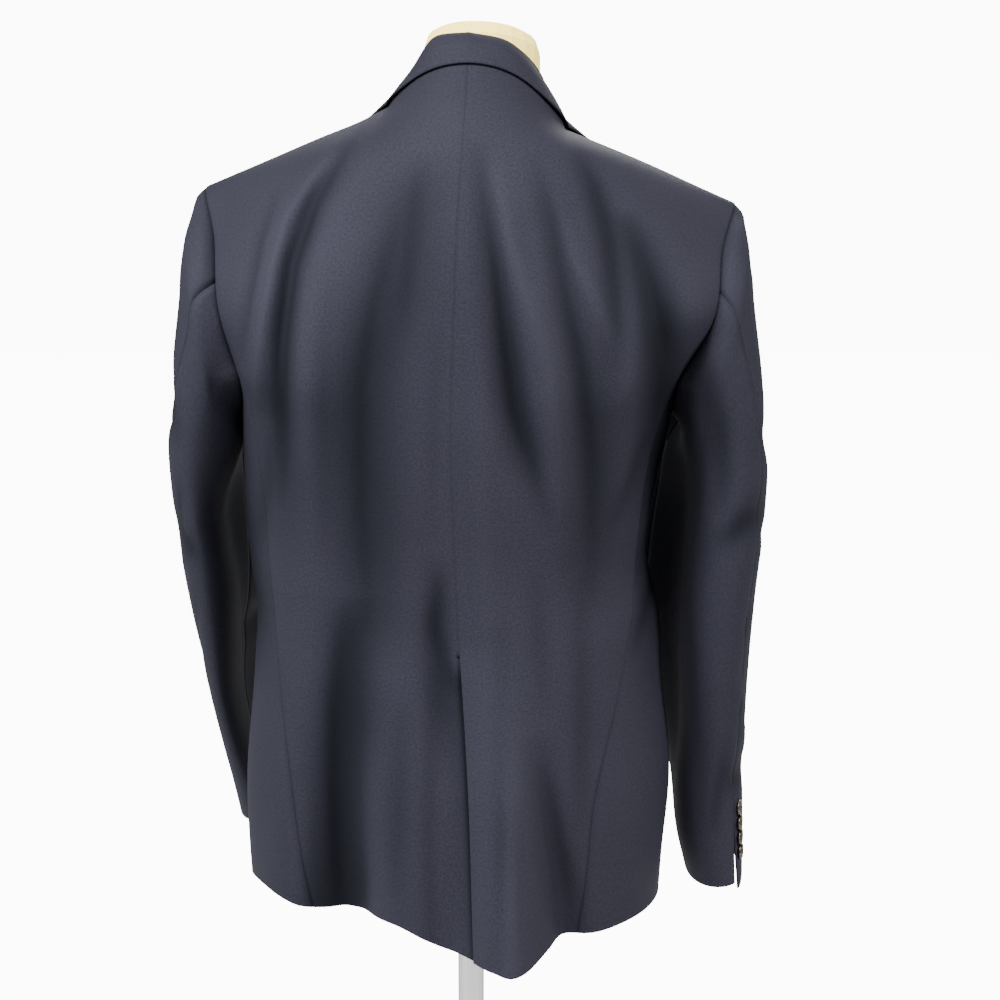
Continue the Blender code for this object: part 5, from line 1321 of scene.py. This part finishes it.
def button_mesh(name, radius, thickness):
    """A turned button: its profile spun round, with four holes bored through."""
    turned = bmesh.new()
    angles = np.linspace(0, 2 * math.pi, BUTTON_TURNS, endpoint=False)
    rings = [[turned.verts.new((radius * share * math.cos(a), radius * share * math.sin(a),
                                thickness * lift)) for a in angles]
             for share, lift in BUTTON_PROFILE]
    for low, high in zip(rings, rings[1:]):
        for i, after in enumerate((*range(1, BUTTON_TURNS), 0)):
            turned.faces.new((low[i], low[after], high[after], high[i]))
    turned.faces.new(rings[0])
    turned.faces.new(rings[-1][::-1])
    bmesh.ops.recalc_face_normals(turned, faces=turned.faces)
    drills = bmesh.new()
    for a in map(math.radians, (45, 135, 225, 315)):
        reach = radius * HOLE_PLACE
        spot = Matrix.Translation((reach * math.cos(a), reach * math.sin(a), thickness / 2))
        add_rod(drills, spot, radius * HOLE_RADIUS, thickness * 3, 12)
    blank = in_scene(name + "_blank", as_mesh(name, turned))
    drill = in_scene(name + "_drill", as_mesh(name + "_drill", drills))
    bore = blank.modifiers.new("bore", "BOOLEAN")
    bore.operation, bore.object, bore.solver = "DIFFERENCE", drill, "EXACT"
    view = bpy.context.evaluated_depsgraph_get()
    bored = bpy.data.meshes.new_from_object(blank.evaluated_get(view))
    for made in (blank, drill):
        bpy.data.objects.remove(made, do_unlink=True)
    bored.name = name
    bored.shade_smooth()
    bored.set_sharp_from_angle(angle=math.radians(35))
    return bored


def sewn_button(node, centre, axis, radius, spin):
    """A button on its node's place, with two bars of thread over its holes and thread shanks."""
    thickness = BUTTON_THICKNESS
    mesh = button_mesh(node + "_horn", radius, thickness)
    axis = Vector(axis)
    place = Matrix.Translation(Vector(centre)) @ axis.to_track_quat("Z", "Y").to_matrix().to_4x4()
    place = place @ Matrix.Rotation(spin, 4, "Z")
    mesh.transform(place)
    piece = show("turned_" + node, mesh, horn)
    put_on(piece, node)
    bars = bmesh.new()
    between, lying = radius * SHANK_PLACE, Matrix.Rotation(math.pi / 2, 4, "X")
    for side in (-1, 1):
        for strand in (-1, 0, 1):
            off = side * between + strand * STRAND_PITCH
            spot = Matrix.Translation((off, 0, thickness * STRAND_LIFT)) @ lying
            add_rod(bars, spot, STRAND, radius * STRAND_LENGTH, 8)
    for x in (-1, 1):
        for y in (-1, 1):
            spot = Matrix.Translation((x * between, y * between, thickness * SHANK_LIFT))
            add_rod(bars, spot, SHANK, thickness * SHANK_LENGTH, 8)
    sewing = as_mesh("thread_" + node, bars)
    sewing.transform(place)
    sewing.shade_smooth()
    threads = show("thread_" + node, sewing, thread_navy)
    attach(threads, "root")


def node_place(node):
    """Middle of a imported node's box."""
    low, high = (np.array(corner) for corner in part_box(node))
    return (low + high) / 2


for side in ("left", "right"):
    grid, normals = cuff_seams[side]
    seam_line, facing = grid[:, -1], normals[:, -6]
    for number in range(4):
        node = "cuff_button_%s_%d" % (side, number + 1)
        centre = node_place(node)
        axis = unit(facing[int(np.argmin(np.linalg.norm(seam_line - centre, axis=1)))])
        sewn_button(node, centre - axis * BUTTON_THICKNESS / 2, axis, CUFF_BUTTON,
                    CUFF_SPIN * number)

for number, up in enumerate(FRONT_BUTTON_UPS):
    u = np.linspace(0.6, 1.0, 81)
    row = front_surface("left", u, np.full_like(u, up))
    share = np.array([np.interp(0.0, row[:, 0], u)])
    axis = normals_of(front_surface, "left", share, np.array([up]))[0]
    node = "front_button_%d" % (number + 1)
    sewn_button(node, node_place(node) - axis * BUTTON_THICKNESS / 2, axis, FRONT_BUTTON,
                FRONT_SPIN)

# ================================================================ stitching
# Pick stitches of navy thread near the finished edges of collar, lapels, fronts and flaps, and
# closely worked buttonholes in the left lapel and the left front. One node group sews them all.
PICK = {"Pitch": 0.0058, "Stitch": (0.0017, 0.00042, 0.00036), "Turn": 0.0}
WORKED = {"Pitch": 0.00048, "Stitch": (0.0019, 0.00052, 0.00055), "Turn": math.pi / 2}
PICK_LIFT, HOLE_LIFT = 0.00004, 0.00015          # how far the thread lies off the cloth
HOLE_HALF_WIDTH = 0.0011
FRONT_HOLE = (-0.021, 0.002)                     # ends of a front buttonhole, x

sewn_run = bpy.data.node_groups.new("sewn_run", "GeometryNodeTree")
for label, kind in (("Path", "Geometry"), ("Pitch", "Float"), ("Stitch", "Vector"),
                    ("Turn", "Float"), ("Seed", "Int"), ("Thread", "Material")):
    sewn_run.interface.new_socket(label, in_out="INPUT", socket_type="NodeSocket" + kind)
sewn_run.interface.new_socket("Stitches", in_out="OUTPUT", socket_type="NodeSocketGeometry")
given = {socket.name: Wire(sewn_run, socket)
         for socket in sewn_run.nodes.new("NodeGroupInput").outputs}
start = given["Path"]
line = start.node("GeometryNodeMeshToCurve", {}, {"Mesh": start})
even = start.node("GeometryNodeResampleCurve", {"mode": "LENGTH"},
                  {"Curve": line, "Length": given["Pitch"]})
facing = start.node("GeometryNodeInputNamedAttribute", {"data_type": "FLOAT_VECTOR"},
                    {"Name": "out"})
tangent = start.node("GeometryNodeInputTangent")
turned = start.node("FunctionNodeAxesToRotation", {"primary_axis": "Z", "secondary_axis": "X"},
                    {"Primary Axis": facing, "Secondary Axis": tangent})
uneven = start.node("FunctionNodeRandomValue", {"data_type": "FLOAT"},
                    {2: 0.88, 3: 1.12, "Seed": given["Seed"]}, 1)
spin = start.node("ShaderNodeCombineXYZ", {}, {"Z": given["Turn"] + (uneven - 1.0) * 0.9})
by = start.node("FunctionNodeEulerToRotation", {}, {0: spin})
spun = start.node("FunctionNodeRotateRotation", {"rotation_space": "LOCAL"}, {0: turned, 1: by})
size = start.node("ShaderNodeVectorMath", {"operation": "SCALE"},
                  {0: given["Stitch"], "Scale": uneven})
grain = start.node("GeometryNodeMeshUVSphere", {}, {"Segments": 8, "Rings": 6, "Radius": 0.5})
placed = start.node("GeometryNodeInstanceOnPoints", {},
                    {"Points": even, "Instance": grain, "Rotation": spun, "Scale": size})
real = start.node("GeometryNodeRealizeInstances", {}, {"Geometry": placed})
done = start.node("GeometryNodeSetMaterial", {}, {"Geometry": real, "Material": given["Thread"]})
sewn_run.links.new(done.socket, sewn_run.nodes.new("NodeGroupOutput").inputs[0])


def sew(name, node, points, outward, **values):
    """Navy stitches along a line on a node's cloth, each with its own way out; node is unused."""
    path = bpy.data.meshes.new(name)
    path.from_pydata(points.tolist(), [(i, i + 1) for i in range(len(points) - 1)], [])
    ways_out = path.attributes.new("out", "FLOAT_VECTOR", "POINT")
    ways_out.data.foreach_set("vector", outward.reshape(-1))
    holder = in_scene(name, path)
    run = holder.modifiers.new("sewing", "NODES")
    run.node_group = sewn_run
    values["Thread"] = thread_navy
    for socket in sewn_run.interface.items_tree:
        if socket.in_out == "INPUT" and socket.name in values:
            run[socket.identifier] = values[socket.name]
    holder.update_tag()
    view = bpy.context.evaluated_depsgraph_get()
    mesh = bpy.data.meshes.new_from_object(holder.evaluated_get(view))
    bpy.data.objects.remove(holder, do_unlink=True)
    mesh.shade_smooth()
    piece = show(name, mesh)
    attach(piece, "root")


for seed, (node, (points, outward)) in enumerate(sorted(stitch_lines.items())):
    sew("pick_stitches_" + node, node, points + outward * PICK_LIFT, outward, Seed=seed, **PICK)


def worked_hole(name, node, ends, outward, seed):
    """A buttonhole: close stitches across a slim ring round the slit between two points."""
    middle, half = (ends[0] + ends[1]) / 2, (ends[1] - ends[0]) / 2
    cross = unit(np.cross(outward, half)) * HOLE_HALF_WIDTH
    turns = np.linspace(0, 2 * math.pi, 73)[:, None]
    slit = middle + np.cos(turns) * half + np.sin(turns) * cross + outward * HOLE_LIFT
    sew(name, node, slit, np.tile(outward, (len(slit), 1)), Seed=seed, **WORKED)


worked_hole("lapel_buttonhole", "lapel_left", lapel_hole[0][[0, -1]], lapel_hole[1].mean(0), 21)
for number, up in enumerate(FRONT_BUTTON_UPS):
    u = np.linspace(0.6, 1.0, 161)
    row = front_surface("left", u, np.full_like(u, up))
    shares = np.interp(FRONT_HOLE, row[:, 0], u)
    ends = front_surface("left", shares, np.full_like(shares, up))
    outward = normals_of(front_surface, "left", shares, np.full_like(shares, up)).mean(0)
    worked_hole("front_buttonhole_%d" % (number + 1), "front_left", ends, unit(outward),
                31 + number)

# ================================================================ the dress form and its stand
# A padded shell covered in natural linen, closed by a linen cap at the neck, on a satin steel
# pole and a round weighted foot.
LINEN_PITCH = 0.0011         # of its warp and weft, in metres

linen, start = new_material("natural_linen", 0.85, Sheen_Weight=0.15)
place = object_places(start)
x, y, z = place.parts()
warp, weft = ribbed(x + y * 0.7, LINEN_PITCH), ribbed(z, LINEN_PITCH)
slub, stain = noise(place, 420.0, 4.0), noise(place, 22.0, 3.0)
tone = warp * 0.2 + weft * 0.2 + slub.spread(0.3, 0.7) * 0.4 + stain.spread(0.35, 0.65) * 0.2
feed(start, Base_Color=tone.mixed((1.0, 0.67, 0.12, 1), (1.0, 0.89, 0.24, 1)),
     Normal=relief(warp * 0.3 + weft * 0.3 + slub * 0.4, 0.35, 0.0004))

steel, start = new_material("satin_steel", 0.32, Metallic=1.0)
brushed = noise(object_places(start), 900.0, 2.0)
colour = brushed.spread(0.3, 0.7).mixed((0.56, 0.56, 0.57, 1), (0.62, 0.62, 0.63, 1))
feed(start, Base_Color=colour, Roughness=brushed.spread(0.3, 0.7, 0.29, 0.36))

for node, material in (("form_torso", linen), ("form_neck_cap", linen),
                       ("form_pole", steel), ("form_base", steel)):
    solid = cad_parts[node]
    solid.data.materials.clear()
    solid.data.materials.append(material)
